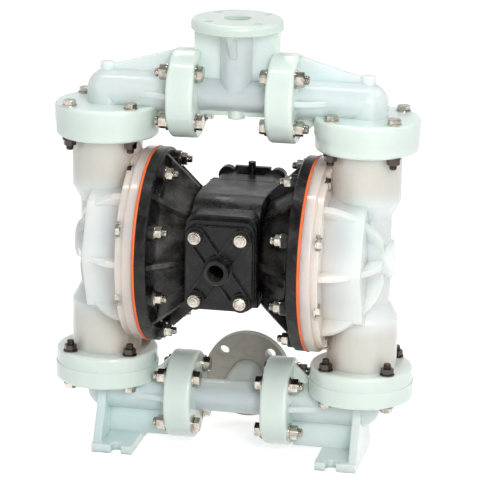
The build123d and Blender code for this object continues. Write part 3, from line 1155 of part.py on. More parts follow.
def manifold_bolt_sets():
    """Bolts, nuts and washers of the right-hand manifold flanges: heads face the centre of the pump."""
    grip = 2 * MANIFOLD_FLANGE_T + 2 * MANIFOLD_WASHER_T
    bolt = hex_bolt(MANIFOLD_BOLT_D, MANIFOLD_BOLT_AF, MANIFOLD_HEAD_H, grip + MANIFOLD_NUT_H + THREAD_END)
    nut = hex_nut(MANIFOLD_BOLT_D, MANIFOLD_BOLT_AF, MANIFOLD_NUT_H)
    ring = washer(MANIFOLD_BOLT_D, MANIFOLD_WASHER_R, MANIFOLD_WASHER_T)
    bolts, nuts, washers = [], [], []
    for level in (MANIFOLD_Z, -MANIFOLD_Z):
        for y, z in square_points(PIPE_BOLT_PITCH):
            head = (TEE_BACK_X - MANIFOLD_WASHER_T, y, level + z)
            tail = (ELBOW_BACK_X + MANIFOLD_WASHER_T, y, level + z)
            bolts.append(at(head, (-1, 0, 0), bolt))
            nuts.append(at(tail, (1, 0, 0), nut))
            washers.append(at(head, (1, 0, 0), ring))
            washers.append(at(tail, (-1, 0, 0), ring))
    return bolts, nuts, washers


def both_sides(shapes):
    return shapes + [mirrored(shape) for shape in shapes]


# Assembly

def paired_nodes():
    """Pieces that exist once on each side, drawn for the right."""
    pieces = {
        "discharge_elbow": discharge_elbow(),
        "suction_elbow": suction_elbow(),
        "outer_chamber": outer_chamber(),
        "diaphragm": diaphragm(),
        "inner_chamber": inner_chamber(),
        "inner_plate": inner_plate(),
        "outer_plate": outer_plate(),
        "rod_bushing": rod_bushing(),
        "air_valve_end_cap": air_valve_end_cap(),
        "pilot_plunger": pilot_plunger(),
    }
    for level in ("discharge", "suction"):
        pieces[level + "_seat"] = at_valve(level, valve_seat())
        pieces[level + "_ball"] = at_valve(level, ball())
        pieces[level + "_cage"] = at_valve(level, Pos(0, 0, SEAT_H) * ball_cage())
    return pieces


def single_nodes():
    """Pieces that exist once, on the pump's middle."""
    return {
        "discharge_tee": discharge_tee(),
        "suction_tee": suction_tee(),
        "suction_backing_flange": suction_backing_flange(),
        "centre_housing": centre_housing(),
        "diaphragm_rod": diaphragm_rod(),
        "air_inlet_cap": air_inlet_cap(),
        "air_inlet_gasket": air_inlet_gasket(),
        "air_valve_body": air_valve_body(),
        "air_valve_gasket": air_valve_gasket(),
        "air_valve_sleeve": air_valve_sleeve(),
        "air_valve_spool": air_valve_spool(),
        "pilot_sleeve": pilot_sleeve(),
        "pilot_spool": pilot_spool(),
    }


def group_nodes():
    """Identical small pieces that share one node, as lists of separate solids."""
    clamp = clamp_bolt_sets()
    valve = valve_bolt_sets()
    manifold = manifold_bolt_sets()
    valve_rings = [valve_oring(), mirror(valve_oring(), about=Plane.XY)]
    manifold_rings = [manifold_oring(), mirror(manifold_oring(), about=Plane.XY)]
    return {
        "chamber_bolts": both_sides(clamp[0]),
        "chamber_nuts": both_sides(clamp[1]),
        "valve_flange_bolts": both_sides(valve[0]),
        "valve_flange_nuts": both_sides(valve[1]),
        "manifold_bolts": both_sides(manifold[0]),
        "manifold_nuts": both_sides(manifold[1]),
        "flange_washers": both_sides(clamp[2] + valve[2] + manifold[2]),
        "valve_orings": both_sides(valve_rings),
        "manifold_orings": both_sides(manifold_rings),
        "housing_gaskets": both_sides([housing_gasket()]),
        "rod_seals": both_sides([rod_seal()]),
        "plunger_bushings": both_sides([plunger_bushing()]),
        "housing_bolts": housing_bolts(),
        "air_inlet_bolts": air_inlet_bolts(),
        "air_valve_screws": air_valve_screws(),
    }


def write(name, shapes):
    """Raise a node's solids to their height above the floor and write them."""
    solids = [solid for shape in shapes for solid in shape.solids()]
    raised = [Pos(0, 0, SHAFT_HEIGHT) * solid for solid in solids]
    part = raised[0] if len(raised) == 1 else Compound(children=raised)
    export_step(part, "parts/" + name + ".step")


os.makedirs("parts", exist_ok=True)
for node, shape in single_nodes().items():
    write(node, [shape])
for node, shape in paired_nodes().items():
    write(node + "_right", [shape])
    write(node + "_left", [mirrored(shape)])
for node, shapes in group_nodes().items():
    write(node, shapes)
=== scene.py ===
import json
import math

import bmesh
import bpy
from mathutils import Matrix, Vector


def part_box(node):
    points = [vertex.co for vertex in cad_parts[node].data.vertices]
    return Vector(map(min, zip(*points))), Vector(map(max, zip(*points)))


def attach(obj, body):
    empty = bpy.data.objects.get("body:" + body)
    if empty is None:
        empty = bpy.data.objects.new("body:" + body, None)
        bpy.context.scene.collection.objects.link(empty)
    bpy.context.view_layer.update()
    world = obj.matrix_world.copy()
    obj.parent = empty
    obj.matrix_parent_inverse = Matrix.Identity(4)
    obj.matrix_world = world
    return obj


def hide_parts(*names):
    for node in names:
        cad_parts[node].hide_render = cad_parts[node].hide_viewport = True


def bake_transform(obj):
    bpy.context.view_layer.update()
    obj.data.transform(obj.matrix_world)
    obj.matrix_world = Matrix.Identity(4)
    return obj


# Looks of an air operated double diaphragm pump, metres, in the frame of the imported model:
# the shaft runs along X through SHAFT, the air inlet faces -Y, the feet stand on Z = 0.

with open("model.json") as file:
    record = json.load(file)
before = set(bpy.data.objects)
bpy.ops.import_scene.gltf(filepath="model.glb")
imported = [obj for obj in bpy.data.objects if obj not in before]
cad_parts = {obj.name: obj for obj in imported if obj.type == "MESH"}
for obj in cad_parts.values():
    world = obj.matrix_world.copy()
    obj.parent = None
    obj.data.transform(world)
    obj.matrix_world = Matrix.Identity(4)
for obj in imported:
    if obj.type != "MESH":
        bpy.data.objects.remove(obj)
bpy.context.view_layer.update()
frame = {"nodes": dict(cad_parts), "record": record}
NODES = frame["nodes"]

# Camera, at the photograph's viewing angle
SHAFT = Vector((0.0, 0.0, 0.299))
VIEW_AZIMUTH = math.radians(11.51)
VIEW_ELEVATION = math.radians(15.92)
VIEW_ROLL = math.radians(0.76)
VIEW_DISTANCE = 3.987
LENS_MM = 210.5
SHIFT_RIGHT = 0.0110
SHIFT_UP = 0.0167

# Light
WORLD_STRENGTH = 0.46
WORLD_COLOR = (1.0, 0.995, 0.985)
BACKGROUND_WHITE = (1.0, 1.0, 1.0)
ZENITH_GREY = (0.30, 0.30, 0.30)
HORIZON_RISE = 0.05
ZENITH_RISE = 0.75
FLOOR_GLOW = 0.62
FLOOR_GREY = (0.82, 0.82, 0.82)
FLOOR_ROUGHNESS = 0.7
FLOOR_HALF = 12.0
FLOOR_DROP = 0.0002
LAMP_WARM = (1.0, 0.99, 0.97)
LAMP_WHITE = (1.0, 1.0, 1.0)
# Name, place, size, watts, colour
LAMPS = (
    ("key", (0.95, -2.3, 1.4), (0.8, 0.8), 38.0, LAMP_WARM),
    ("fill", (-1.6, -1.8, 1.3), (0.9, 1.2), 2.0, LAMP_WARM),
    ("side", (1.6, 0.3, 2.0), (0.5, 0.5), 5.0, LAMP_WHITE),
    ("back", (-0.6, 1.8, 2.7), (1.0, 1.0), 12.0, LAMP_WHITE),
    ("strip", (0.0, -0.3, 2.4), (1.8, 0.14), 10.0, LAMP_WHITE),
)

# Diaphragm: where it is clamped, and how its fold runs to the plates (right-hand side)
CLAMP_X = 0.114
BEAD_T = 0.0045
BEAD_R = 0.1395
MOUTH_R = 0.099
DIAPHRAGM_T = 0.004
DIAPHRAGM_CENTRE_X = 0.096
STUD_R = 0.0082
FOLD = ((0.1163, 0.0985), (0.1177, 0.0900), (0.1140, 0.0815), (0.1082, 0.0750),
        (0.1025, 0.0700), (0.0985, 0.0655), (0.0962, 0.0600), (0.0960, 0.0560))

# Threads: radius, pitch and ridge height
CHAMBER_THREAD = (0.0050, 0.0015, 0.00035)
MANIFOLD_THREAD = (0.00635, 0.0019, 0.00045)
PIPE_THREAD = (0.0119, 0.0018, 0.0007)
THREAD_SEGMENTS = 28
TIP_LENGTH = 0.0070
TIP_CHAMFER = 0.0012
PORT_THREAD_INSET = 0.0012
PORT_THREAD_DEPTH = 0.022
EXHAUST_DROP = 0.010

# Colours of the white plastic, and the painted shade on metal in the shadow of a valve flange
MINT = (0.700, 0.805, 0.755)
SHADED_MINT = (0.610, 0.710, 0.655)
PALE_BLUE = (0.650, 0.800, 0.800)
PALE_GREEN = (0.700, 0.800, 0.780)
WARM = (0.700, 0.655, 0.575)
MILK = (0.825, 0.885, 0.840)
FLOW_WHITE = (0.93, 0.97, 0.95)
ROSE = (0.740, 0.590, 0.530)
# Painted shade: the chamber rim turns this darker tan towards the bottom
RIM_PAINTED_SHADE = (0.480, 0.350, 0.260)
# Painted shade on metal in the shadow of a valve flange
NUT_PAINTED_SHADE = (0.085, 0.070, 0.062)

# Colours of the black plastic
SOOT = (0.0050, 0.0042, 0.0046)
FLOW_GREY = (0.030, 0.029, 0.028)
# Painted sheen on the black cones
PAINTED_SHEEN_GREY = (0.120, 0.118, 0.112)
FIBRE_GREY = (0.09, 0.085, 0.08)

# Where finishes change, and where shade is painted on the valve nuts: distances above or below the shaft
VALVE_FLANGE_ZONE = (0.1570, 0.2040)
VALVE_COLUMN_ZONE = (0.0950, 0.1575)
# Painted shade on the metal at the valve nuts
VALVE_NUT_ZONE = (0.1350, 0.1575)
VALVE_SEAM = 0.179
# Distances from the middle plane
MANIFOLD_FLANGE_ZONE = (0.0500, 0.0905)
MANIFOLD_SEAM = 0.0701
RIM_ZONE = (0.128, 0.180)
CONE_ZONE = (0.0520, 0.0930)
# Heights above the floor
OUTLET_FLANGE_Z = (0.6140, 0.6170)
# Painted shade on the chamber rim, darker towards the bottom
RIM_PAINTED_SHADE_Z = (0.17, 0.31)

SEAM_SOFTNESS = 0.0050
EDGE_ROUNDING = 0.0016
SEAM_ROUNDING = 0.00002
PLASTIC_SCATTER = (0.026, 0.024, 0.021)
THICK_SCATTER_SCALE = 0.35
THIN_SCATTER_SCALE = 1.0
CHAMBER_SCATTER_SCALE = 1.6


# Node helpers

class Shader:
    """One Principled material and the few nodes that its recipes share."""

    def __init__(self, name):
        self.material = bpy.data.materials.new(name)
        self.material.use_nodes = True
        self.tree = self.material.node_tree
        self.principled = self.tree.nodes["Principled BSDF"]
        self.place = self.add("ShaderNodeTexCoord").outputs["Object"]

    def add(self, kind, **settings):
        node = self.tree.nodes.new(kind)
        for key, value in settings.items():
            setattr(node, key, value)
        return node

    def link(self, source, target):
        self.tree.links.new(source, target)

    def value(self, **numbers):
        """Plain numbers and colours on the shader's own sockets."""
        for key, number in numbers.items():
            self.principled.inputs[key.replace("_", " ")].default_value = number

    def drive(self, socket, source):
        self.link(source, self.principled.inputs[socket])

    def scaled_place(self, scale):
        """Object coordinates multiplied by three factors, for stretched patterns."""
        mapping = self.add("ShaderNodeMapping")
        mapping.inputs["Scale"].default_value = scale
        self.link(self.place, mapping.inputs["Vector"])
        return mapping.outputs["Vector"]

    def noise(self, scale, detail=2.0, roughness=0.5, place=None, distortion=0.0):
        node = self.add("ShaderNodeTexNoise")
        node.inputs["Scale"].default_value = scale
        node.inputs["Detail"].default_value = detail
        node.inputs["Roughness"].default_value = roughness
        node.inputs["Distortion"].default_value = distortion
        self.link(place or self.place, node.inputs["Vector"])
        return node.outputs["Fac"]

    def axis(self, name):
        """One object coordinate."""
        node = self.add("ShaderNodeSeparateXYZ")
        self.link(self.place, node.inputs["Vector"])
        return node.outputs[name]

    def math(self, operation, first, second=0.0):
        node = self.add("ShaderNodeMath", operation=operation)
        for index, operand in enumerate((first, second)):
            if isinstance(operand, (int, float)):
                node.inputs[index].default_value = operand
            else:
                self.link(operand, node.inputs[index])
        return node.outputs["Value"]

    def span(self, source, low, high, out_low=0.0, out_high=1.0):
        """Map a value from one range to another, smoothly and clamped."""
        node = self.add("ShaderNodeMapRange", interpolation_type="SMOOTHSTEP")
        limits = {"From Min": low, "From Max": high, "To Min": out_low, "To Max": out_high}
        for key, number in limits.items():
            node.inputs[key].default_value = number
        self.link(source, node.inputs["Value"])
        return node.outputs["Result"]

    def blend(self, factor, first, second):
        """Mix two colours, each a socket or a colour."""
        node = self.add("ShaderNodeMix", data_type="RGBA")
        for socket, operand in (("A", first), ("B", second)):
            target = next(i for i in node.inputs if i.name == socket and i.type == "RGBA")
            if isinstance(operand, tuple):
                target.default_value = (*operand, 1.0)
            else:
                self.link(operand, target)
        self.link(factor, node.inputs["Factor"])
        return next(o for o in node.outputs if o.type == "RGBA")

    def relief(self, height, distance, rounding=0.0):
        """Bump from a height, on normals that are softened at the edges by a rounding radius."""
        bump = self.add("ShaderNodeBump")
        bump.inputs["Distance"].default_value = distance
        self.link(height, bump.inputs["Height"])
        if rounding:
            bevel = self.add("ShaderNodeBevel", samples=4)
            if isinstance(rounding, float):
                bevel.inputs["Radius"].default_value = rounding
            else:
                self.link(rounding, bevel.inputs["Radius"])
            self.link(bevel.outputs["Normal"], bump.inputs["Normal"])
        self.drive("Normal", bump.outputs["Normal"])


# Materials

def band(shader, source, zone, soft):
    """1 where a value lies in a zone, with soft ends."""
    low, high = zone
    rise = shader.span(source, low - soft, low + soft)
    fall = shader.span(source, high - soft, high + soft, 1.0, 0.0)
    return shader.math("MULTIPLY", rise, fall)


def either(shader, first, second):
    return shader.math("MAXIMUM", first, second)


def off_middle(shader):
    """Distance from the middle plane of the pump."""
    return shader.math("ABSOLUTE", shader.axis("X"))


def off_shaft(shader):
    """Distance above or below the shaft."""
    return shader.math("ABSOLUTE", shader.math("SUBTRACT", shader.axis("Z"), SHAFT.z))


def chamber_color(shader, flange, cloud):
    """Milky, warmer in the valve columns, mint in the flanges, rosy near the rim, and low down there a
    darker tan that is painted shade.
    """
    column = band(shader, off_shaft(shader), VALVE_COLUMN_ZONE, 0.0150)
    color = shader.blend(shader.math("MULTIPLY", cloud, 0.6), MILK, PALE_BLUE)
    color = shader.blend(shader.math("MULTIPLY", column, 0.9), color, WARM)
    color = shader.blend(flange, color, MINT)
    rim = shader.math("MULTIPLY", shader.span(off_middle(shader), RIM_ZONE[1], RIM_ZONE[0], 0.0, 0.85),
                      shader.math("SUBTRACT", 1.0, flange))
    # Painted shade: the rim turns darker tan towards the bottom
    low = shader.span(shader.axis("Z"), RIM_PAINTED_SHADE_Z[1], RIM_PAINTED_SHADE_Z[0], 0.0, 0.80)
    return shader.blend(rim, color, shader.blend(low, ROSE, RIM_PAINTED_SHADE))


def polypropylene(name, chamber):
    """Milky, slightly translucent plastic: mint where it is thick, bluish in the tubes.

    Light spreads less in the flanges and hardly at all at their seams, so that a pair looks like one block.
    """
    shader = Shader(name)
    reach = off_middle(shader)
    height = off_shaft(shader)
    flange = band(shader, height, VALVE_FLANGE_ZONE, 0.0010)
    cloud = shader.span(shader.noise(6.0, 2.0), 0.38, 0.62)
    if chamber:
        color = chamber_color(shader, flange, cloud)
        thick = flange
        scatter_scale = CHAMBER_SCATTER_SCALE
    else:
        joint = band(shader, reach, MANIFOLD_FLANGE_ZONE, 0.0010)
        outlet = shader.span(shader.axis("Z"), *OUTLET_FLANGE_Z)
        thick = either(shader, either(shader, flange, joint), outlet)
        thin = shader.blend(cloud, PALE_BLUE, PALE_GREEN)
        color = shader.blend(thick, thin, shader.blend(outlet, MINT, SHADED_MINT))
        scatter_scale = THIN_SCATTER_SCALE
    flow = shader.noise(60.0, 3.0, 0.6, shader.scaled_place((1.0, 1.0, 0.35)))
    color = shader.blend(shader.span(flow, 0.3, 0.8, 0.0, 0.10), color, FLOW_WHITE)
    shader.drive("Base Color", color)
    shader.drive("Roughness", shader.span(flow, 0.3, 0.7, 0.30, 0.40))
    seam = either(shader, band(shader, height, (VALVE_SEAM, VALVE_SEAM), SEAM_SOFTNESS),
                  band(shader, reach, (MANIFOLD_SEAM, MANIFOLD_SEAM), SEAM_SOFTNESS))
    shader.drive("Subsurface Weight", shader.span(seam, 0.0, 0.25, 0.90, 0.10))
    shader.drive("Subsurface Scale", shader.span(thick, 0.0, 1.0, scatter_scale, THICK_SCATTER_SCALE))
    shader.value(Subsurface_Radius=PLASTIC_SCATTER, IOR=1.49, Coat_Weight=0.70, Coat_Roughness=0.09)
    rounding = shader.span(seam, 0.0, 0.1, EDGE_ROUNDING, SEAM_ROUNDING)
    shader.relief(shader.noise(320.0, 3.0), 0.00005, rounding)
    return shader.material


def cone_painted_sheen(shader):
    """How much painted sheen the black cones get: light grey patches, and more of them on the left cone."""
    reach = off_middle(shader)
    start, stop = CONE_ZONE
    shares = (shader.span(reach, start, start + 0.008), shader.span(reach, stop, stop - 0.003),
              shader.span(shader.axis("X"), -0.02, 0.02, 0.85, 0.30))
    sheen = shader.span(shader.noise(17.0, 5.0, 0.62), 0.40, 0.68)
    for share in shares:
        sheen = shader.math("MULTIPLY", sheen, share)
    return sheen


def black_plastic():
    """Black glass-filled plastic: nearly black, with grey flow marks and painted sheen in light grey patches
    on the cones.
    """
    shader = Shader("black_plastic")
    marks = shader.noise(30.0, 7.0, 0.66, distortion=0.8)
    speck = shader.noise(520.0, 2.0)
    color = shader.blend(shader.span(marks, 0.46, 0.72), SOOT, FLOW_GREY)
    # Painted sheen: light grey patches on the cones, more on the left one
    color = shader.blend(cone_painted_sheen(shader), color, PAINTED_SHEEN_GREY)
    color = shader.blend(shader.span(speck, 0.60, 0.80, 0.0, 0.30), color, FIBRE_GREY)
    shader.drive("Base Color", color)
    shader.drive("Roughness", shader.span(marks, 0.35, 0.65, 0.20, 0.42))
    shader.value(IOR=1.5, Specular_IOR_Level=0.30)
    shader.relief(speck, 0.00009, rounding=0.0009)
    return shader.material


def diaphragm_rubber():
    """Orange elastomer, a darker red towards the bottom, which is painted shade."""
    shader = Shader("diaphragm_orange")
    patch = shader.noise(25.0, 3.0)
    # Painted shade: darker red towards the bottom
    low = shader.span(shader.axis("Z"), 0.30, 0.16)
    color = shader.blend(shader.span(patch, 0.3, 0.7), (0.87, 0.150, 0.030), (0.90, 0.185, 0.050))
    color = shader.blend(shader.math("MULTIPLY", low, 0.6), color, (0.72, 0.075, 0.030))
    shader.drive("Base Color", color)
    shader.drive("Roughness", shader.span(patch, 0.3, 0.7, 0.42, 0.58))
    shader.value(Subsurface_Weight=0.15, Subsurface_Radius=(0.003, 0.001, 0.0005), Subsurface_Scale=1.0)
    shader.relief(shader.noise(500.0, 2.0), 0.00008)
    return shader.material


def metal(name, color, dark, low_rough, high_rough, metallic=1.0, grain=(1.0, 1.0, 1.0), rounding=0.0004):
    """Machined or coated metal with a fine grain and uneven polish, and painted shade at the height of the
    valve nuts.
    """
    shader = Shader(name)
    stain = shader.noise(90.0, 4.0, 0.6)
    lines = shader.noise(700.0, 2.0, 0.5, shader.scaled_place(grain))
    mixed = shader.blend(shader.span(stain, 0.3, 0.75), color, dark)
    # Painted shade: metal at the height of the valve nuts is darkened
    mixed = shader.blend(band(shader, off_shaft(shader), VALVE_NUT_ZONE, 0.0008), mixed, NUT_PAINTED_SHADE)
    shader.drive("Base Color", mixed)
    shader.drive("Roughness", shader.span(lines, 0.3, 0.7, low_rough, high_rough))
    shader.value(Metallic=metallic, IOR=1.5)
    shader.relief(lines, 0.00003, rounding=rounding)
    return shader.material


def soft_part(name, color, second, roughness):
    """Seals, balls and bearing pieces: a plain body with a faint mottle."""
    shader = Shader(name)
    mottle = shader.noise(120.0, 4.0)
    shader.drive("Base Color", shader.blend(shader.span(mottle, 0.3, 0.7), color, second))
    shader.drive("Roughness", shader.span(mottle, 0.3, 0.7, roughness - 0.06, roughness + 0.06))
    shader.relief(mottle, 0.00005, rounding=0.0004)
    return shader.material


def make_materials():
    return {
        "white_plastic": polypropylene("white_plastic", False),
        "chamber_plastic": polypropylene("chamber_plastic", True),
        "black_plastic": black_plastic(),
        "diaphragm_orange": diaphragm_rubber(),
        "stainless": metal("stainless", (0.660, 0.615, 0.540), (0.260, 0.240, 0.205), 0.12, 0.24),
        "flange_grey": metal("flange_grey", (0.460, 0.430, 0.380), (0.380, 0.355, 0.315), 0.40, 0.52, 0.20,
                             (1.0, 1.0, 0.06)),
        "seal_rubber": soft_part("seal_rubber", (0.020, 0.020, 0.020), (0.035, 0.034, 0.033), 0.6),
        "ball_rubber": soft_part("ball_rubber", (0.72, 0.68, 0.60), (0.66, 0.62, 0.54), 0.5),
        "bearing_plastic": soft_part("bearing_plastic", (0.78, 0.77, 0.73), (0.72, 0.71, 0.67), 0.35),
        "aluminium_plain": metal("aluminium_plain", (0.62, 0.63, 0.64), (0.52, 0.53, 0.54), 0.28, 0.42),
    }


def dress_nodes(materials):
    """Give every CAD node the material of its slot in the record."""
    for entry in frame["record"]["subparts"]:
        name = entry["node"]
        slot = entry["material_slot"]
        key = "chamber_plastic" if name.startswith("outer_chamber") else slot
        mesh = NODES[name].data
        mesh.materials.clear()
        mesh.materials.append(materials[key])


# Mesh helpers

def make_piece(name, mesh, material, body):
    """A new object that moves with a body, if one is given, and takes the given material."""
    mesh.materials.append(material)
    mesh.shade_smooth()
    piece = bpy.data.objects.new(name, mesh)
    bpy.context.scene.collection.objects.link(piece)
    if body:
        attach(piece, body)
    return piece


def lathe_x(bm, profile, steps):
    """Turn a closed list of (x, radius) points about the shaft axis."""
    rings = []
    for i in range(steps):
        angle = 2 * math.pi * i / steps
        places = [Vector((x, r * math.cos(angle), r * math.sin(angle))) for x, r in profile]
        rings.append([bm.verts.new(SHAFT + place) for place in places])
    for i in range(steps):
        first, second = rings[i], rings[(i + 1) % steps]
        for j in range(len(profile)):
            k = (j + 1) % len(profile)
            bm.faces.new((first[j], first[k], second[k], second[j]))


def islands(node):
    """Boxes of the separate solids of a CAD node, as (low, high) pairs."""
    bm = bmesh.new()
    bm.from_mesh(NODES[node].data)
    bmesh.ops.remove_doubles(bm, verts=bm.verts, dist=1e-6)
    seen, boxes = set(), []
    for vert in bm.verts:
        if vert in seen:
            continue
        stack, found = [vert], []
        seen.add(vert)
        while stack:
            current = stack.pop()
            found.append(current.co.copy())
            for edge in current.link_edges:
                other = edge.other_vert(current)
                if other not in seen:
                    seen.add(other)
                    stack.append(other)
        boxes.append((Vector(map(min, *found)), Vector(map(max, *found))))
    bm.free()
    return boxes


def helix_ridge(bm, start, direction, length, thread, inward=False):
    """A triangular ridge that winds along a cylinder: a bolt's thread, or a hole's if inward."""
    radius, pitch, height = thread
    axis = direction.normalized()
    side = axis.orthogonal().normalized()
    up = axis.cross(side)
    crest = radius - height if inward else radius + height
    turns = length / pitch - 1
    rings = []
    for i in range(int(turns * THREAD_SEGMENTS) + 1):
        angle = 2 * math.pi * i / THREAD_SEGMENTS
        out = math.cos(angle) * side + math.sin(angle) * up
        base = start + axis * (pitch * (0.5 + i / THREAD_SEGMENTS))
        rings.append([bm.verts.new(base + out * radius - axis * (pitch * 0.45)),
                      bm.verts.new(base + out * crest),
                      bm.verts.new(base + out * radius + axis * (pitch * 0.45))])
    for first, second in zip(rings, rings[1:]):
        for j, k in ((0, 1), (1, 2), (2, 0)):
            bm.faces.new((first[j], first[k], second[k], second[j]))
    bm.faces.new(rings[0])
    bm.faces.new(reversed(rings[-1]))


# Diaphragms

def smooth_line(points, steps):
    """A Catmull-Rom curve through points."""
    padded = [points[0], *points, points[-1]]
    curve = []
    for i in range(1, len(padded) - 2):
        a, b, c, d = (Vector(p) for p in padded[i - 1:i + 3])
        for step in range(steps):
            t = step / steps
            curve.append(0.5 * ((2 * b) + (c - a) * t + (2 * a - 5 * b + 4 * c - d) * t * t
                                + (3 * b - a - 3 * c + d) * t ** 3))
    curve.append(Vector(padded[-2]))
    return curve


def diaphragm_profile():
    """Section of the right diaphragm: round bead edge, one fold and the flat centre."""
    middle = smooth_line(FOLD, 5)
    half = DIAPHRAGM_T / 2
    fluid, air = [], []
    for i, point in enumerate(middle):
        before, after = middle[max(i - 1, 0)], middle[min(i + 1, len(middle) - 1)]
        along = (after - before).normalized()
        normal = Vector((-along.y, along.x))
        fluid.append(point + normal * half * (1 if normal.x > 0 else -1))
        air.append(point - normal * half * (1 if normal.x > 0 else -1))
    bead_x, bead_half = CLAMP_X + BEAD_T / 2, BEAD_T / 2
    edge = [(bead_x + bead_half * math.cos(a), BEAD_R - bead_half + bead_half * math.sin(a))
            for a in (math.pi * i / 8 for i in range(9))]
    inner = [(CLAMP_X, MOUTH_R)] + [tuple(p) for p in air[1:]] + [(DIAPHRAGM_CENTRE_X - half, STUD_R)]
    outer = [(DIAPHRAGM_CENTRE_X + half, STUD_R)] + [tuple(p) for p in reversed(fluid[1:])]
    return edge + inner + outer + [(CLAMP_X + BEAD_T, MOUTH_R)]


def diaphragm(side, material):
    """One diaphragm, folded between the clamp ring and the rod."""
    sign = 1 if side == "right" else -1
    bm = bmesh.new()
    lathe_x(bm, [(sign * x, r) for x, r in diaphragm_profile()], 160)
    bmesh.ops.recalc_face_normals(bm, faces=bm.faces)
    mesh = bpy.data.meshes.new("diaphragm_skin_" + side)
    bm.to_mesh(mesh)
    bm.free()
    piece = make_piece("diaphragm_skin_" + side, mesh, material, None)
    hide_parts("diaphragm_" + side)
    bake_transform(piece)


# Threads

def bolt_threads(name, node, axis_index, tip_sign, thread, material):
    """Ridges on the free end of every bolt of a node.

    tip_sign is 1 if the tips point away from the shaft's middle, and -1 if they point towards it.
    """
    bm = bmesh.new()
    for low, high in islands(node):
        centre = (low + high) / 2
        direction = Vector((0, 0, 0))
        away = 1 if centre[axis_index] > SHAFT[axis_index] else -1
        direction[axis_index] = away * tip_sign
        end = centre.copy()
        end[axis_index] = high[axis_index] if direction[axis_index] > 0 else low[axis_index]
        helix_ridge(bm, end - direction * TIP_LENGTH, direction, TIP_LENGTH - TIP_CHAMFER, thread)
    mesh = bpy.data.meshes.new(name)
    bm.to_mesh(mesh)
    bm.free()
    make_piece(name, mesh, material, "root")


def port_threads(name, y_face, direction, height, depth, material):
    """The pipe thread inside a round air port."""
    bm = bmesh.new()
    helix_ridge(bm, Vector((0, y_face, height)), Vector((0, direction, 0)), depth, PIPE_THREAD, inward=True)
    mesh = bpy.data.meshes.new(name)
    bm.to_mesh(mesh)
    bm.free()
    make_piece(name, mesh, material, "root")


# Studio

def make_camera():
    azimuth, elevation, roll = VIEW_AZIMUTH, VIEW_ELEVATION, VIEW_ROLL
    back = Vector((math.sin(azimuth) * math.cos(elevation), -math.cos(azimuth) * math.cos(elevation),
                   math.sin(elevation)))
    right = Vector((math.cos(azimuth), math.sin(azimuth), 0.0))
    up = back.cross(right)
    turned_right = math.cos(roll) * right + math.sin(roll) * up
    turned_up = -math.sin(roll) * right + math.cos(roll) * up
    data = bpy.data.cameras.new("camera")
    data.lens = LENS_MM
    data.sensor_width = 36.0
    data.shift_x = SHIFT_RIGHT
    data.shift_y = SHIFT_UP
    data.clip_end = 50.0
    camera = bpy.data.objects.new("camera", data)
    camera.matrix_world = Matrix((turned_right, turned_up, back)).transposed().to_4x4()
    camera.location = SHAFT + back * VIEW_DISTANCE
    bpy.context.scene.collection.objects.link(camera)
    bpy.context.scene.camera = camera


def area_light(name, place, target, size, watts, color):
    data = bpy.data.lights.new(name, "AREA")
    data.shape = "RECTANGLE"
    data.size, data.size_y = size
    data.energy = watts
    data.color = color
    light = bpy.data.objects.new(name, data)
    light.location = place
    light.rotation_euler = (Vector(target) - Vector(place)).to_track_quat("-Z", "Y").to_euler()
    bpy.context.scene.collection.objects.link(light)


def seen_directly(tree):
    """1 for rays that look at the background straight, in a mirror or through glass."""
    path = tree.nodes.new("ShaderNodeLightPath")
    total = path.outputs["Is Camera Ray"]
    for name in ("Is Glossy Ray", "Is Transmission Ray"):
        largest = tree.nodes.new("ShaderNodeMath")
        largest.operation = "MAXIMUM"
        tree.links.new(total, largest.inputs[0])
        tree.links.new(path.outputs[name], largest.inputs[1])
        total = largest.outputs["Value"]
    return total


def make_world():
    """Even soft light, with a background that is white round the horizon and greyer overhead."""
    world = bpy.data.worlds.new("studio")
    world.use_nodes = True
    tree = world.node_tree
    light = tree.nodes["Background"]
    light.inputs["Color"].default_value = (*WORLD_COLOR, 1.0)
    light.inputs["Strength"].default_value = WORLD_STRENGTH
    direction = tree.nodes.new("ShaderNodeTexCoord")
    parts = tree.nodes.new("ShaderNodeSeparateXYZ")
    tree.links.new(direction.outputs["Generated"], parts.inputs["Vector"])
    rise = tree.nodes.new("ShaderNodeMapRange")
    rise.inputs["From Min"].default_value = HORIZON_RISE
    rise.inputs["From Max"].default_value = ZENITH_RISE
    tree.links.new(parts.outputs["Z"], rise.inputs["Value"])
    shade = tree.nodes.new("ShaderNodeMix")
    shade.data_type = "RGBA"
    colors = [i for i in shade.inputs if i.type == "RGBA"]
    colors[0].default_value = (*BACKGROUND_WHITE, 1.0)
    colors[1].default_value = (*ZENITH_GREY, 1.0)
    tree.links.new(rise.outputs["Result"], shade.inputs["Factor"])
    seen = tree.nodes.new("ShaderNodeBackground")
    tree.links.new(next(o for o in shade.outputs if o.type == "RGBA"), seen.inputs["Color"])
    mix = tree.nodes.new("ShaderNodeMixShader")
    tree.links.new(seen_directly(tree), mix.inputs["Fac"])
    tree.links.new(light.outputs["Background"], mix.inputs[1])
    tree.links.new(seen.outputs["Background"], mix.inputs[2])
    tree.links.new(mix.outputs["Shader"], tree.nodes["World Output"].inputs["Surface"])
    bpy.context.scene.world = world


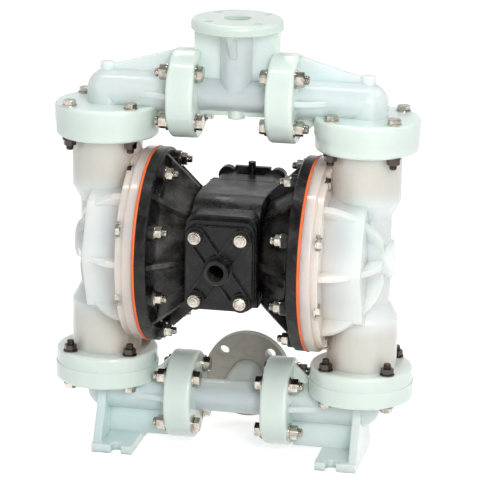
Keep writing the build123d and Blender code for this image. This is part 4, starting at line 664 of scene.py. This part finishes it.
def make_floor():
    """A large pale floor that shows white to the camera and still takes the pump's shadow."""
    mesh = bpy.data.meshes.new("floor")
    half = FLOOR_HALF
    corners = [(-half, -half, 0), (half, -half, 0), (half, half, 0), (-half, half, 0)]
    mesh.from_pydata(corners, [], [(0, 1, 2, 3)])
    floor = bpy.data.objects.new("floor", mesh)
    floor.location.z = -FLOOR_DROP
    bpy.context.scene.collection.objects.link(floor)
    material = bpy.data.materials.new("floor")
    material.use_nodes = True
    tree = material.node_tree
    paint = tree.nodes["Principled BSDF"]
    paint.inputs["Base Color"].default_value = (*FLOOR_GREY, 1.0)
    paint.inputs["Roughness"].default_value = FLOOR_ROUGHNESS
    glow = tree.nodes.new("ShaderNodeEmission")
    share = tree.nodes.new("ShaderNodeMath")
    share.operation = "MULTIPLY"
    share.inputs[1].default_value = FLOOR_GLOW
    add = tree.nodes.new("ShaderNodeAddShader")
    tree.links.new(seen_directly(tree), share.inputs[0])
    tree.links.new(share.outputs["Value"], glow.inputs["Strength"])
    tree.links.new(paint.outputs["BSDF"], add.inputs[0])
    tree.links.new(glow.outputs["Emission"], add.inputs[1])
    tree.links.new(add.outputs["Shader"], tree.nodes["Material Output"].inputs["Surface"])
    mesh.materials.append(material)


def make_studio():
    make_camera()
    make_world()
    make_floor()
    for name, place, size, watts, color in LAMPS:
        area_light(name, place, SHAFT, size, watts, color)


# Assembly

materials = make_materials()
dress_nodes(materials)
for pump_side in ("left", "right"):
    diaphragm(pump_side, materials["diaphragm_orange"])
bolt_threads("clamp_threads", "chamber_bolts", 0, -1, CHAMBER_THREAD, materials["stainless"])
bolt_threads("valve_threads", "valve_flange_bolts", 2, -1, CHAMBER_THREAD, materials["stainless"])
bolt_threads("manifold_threads", "manifold_bolts", 0, 1, MANIFOLD_THREAD, materials["stainless"])
inlet_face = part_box("air_inlet_cap")[0].y
port_threads("inlet_thread", inlet_face + PORT_THREAD_INSET, 1, SHAFT.z, PORT_THREAD_DEPTH,
             materials["black_plastic"])
exhaust_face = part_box("air_valve_body")[1].y
port_threads("exhaust_thread", exhaust_face - PORT_THREAD_INSET, -1, SHAFT.z - EXHAUST_DROP,
             PORT_THREAD_DEPTH, materials["black_plastic"])
make_studio()
bpy.context.scene.view_settings.view_transform = "Standard"
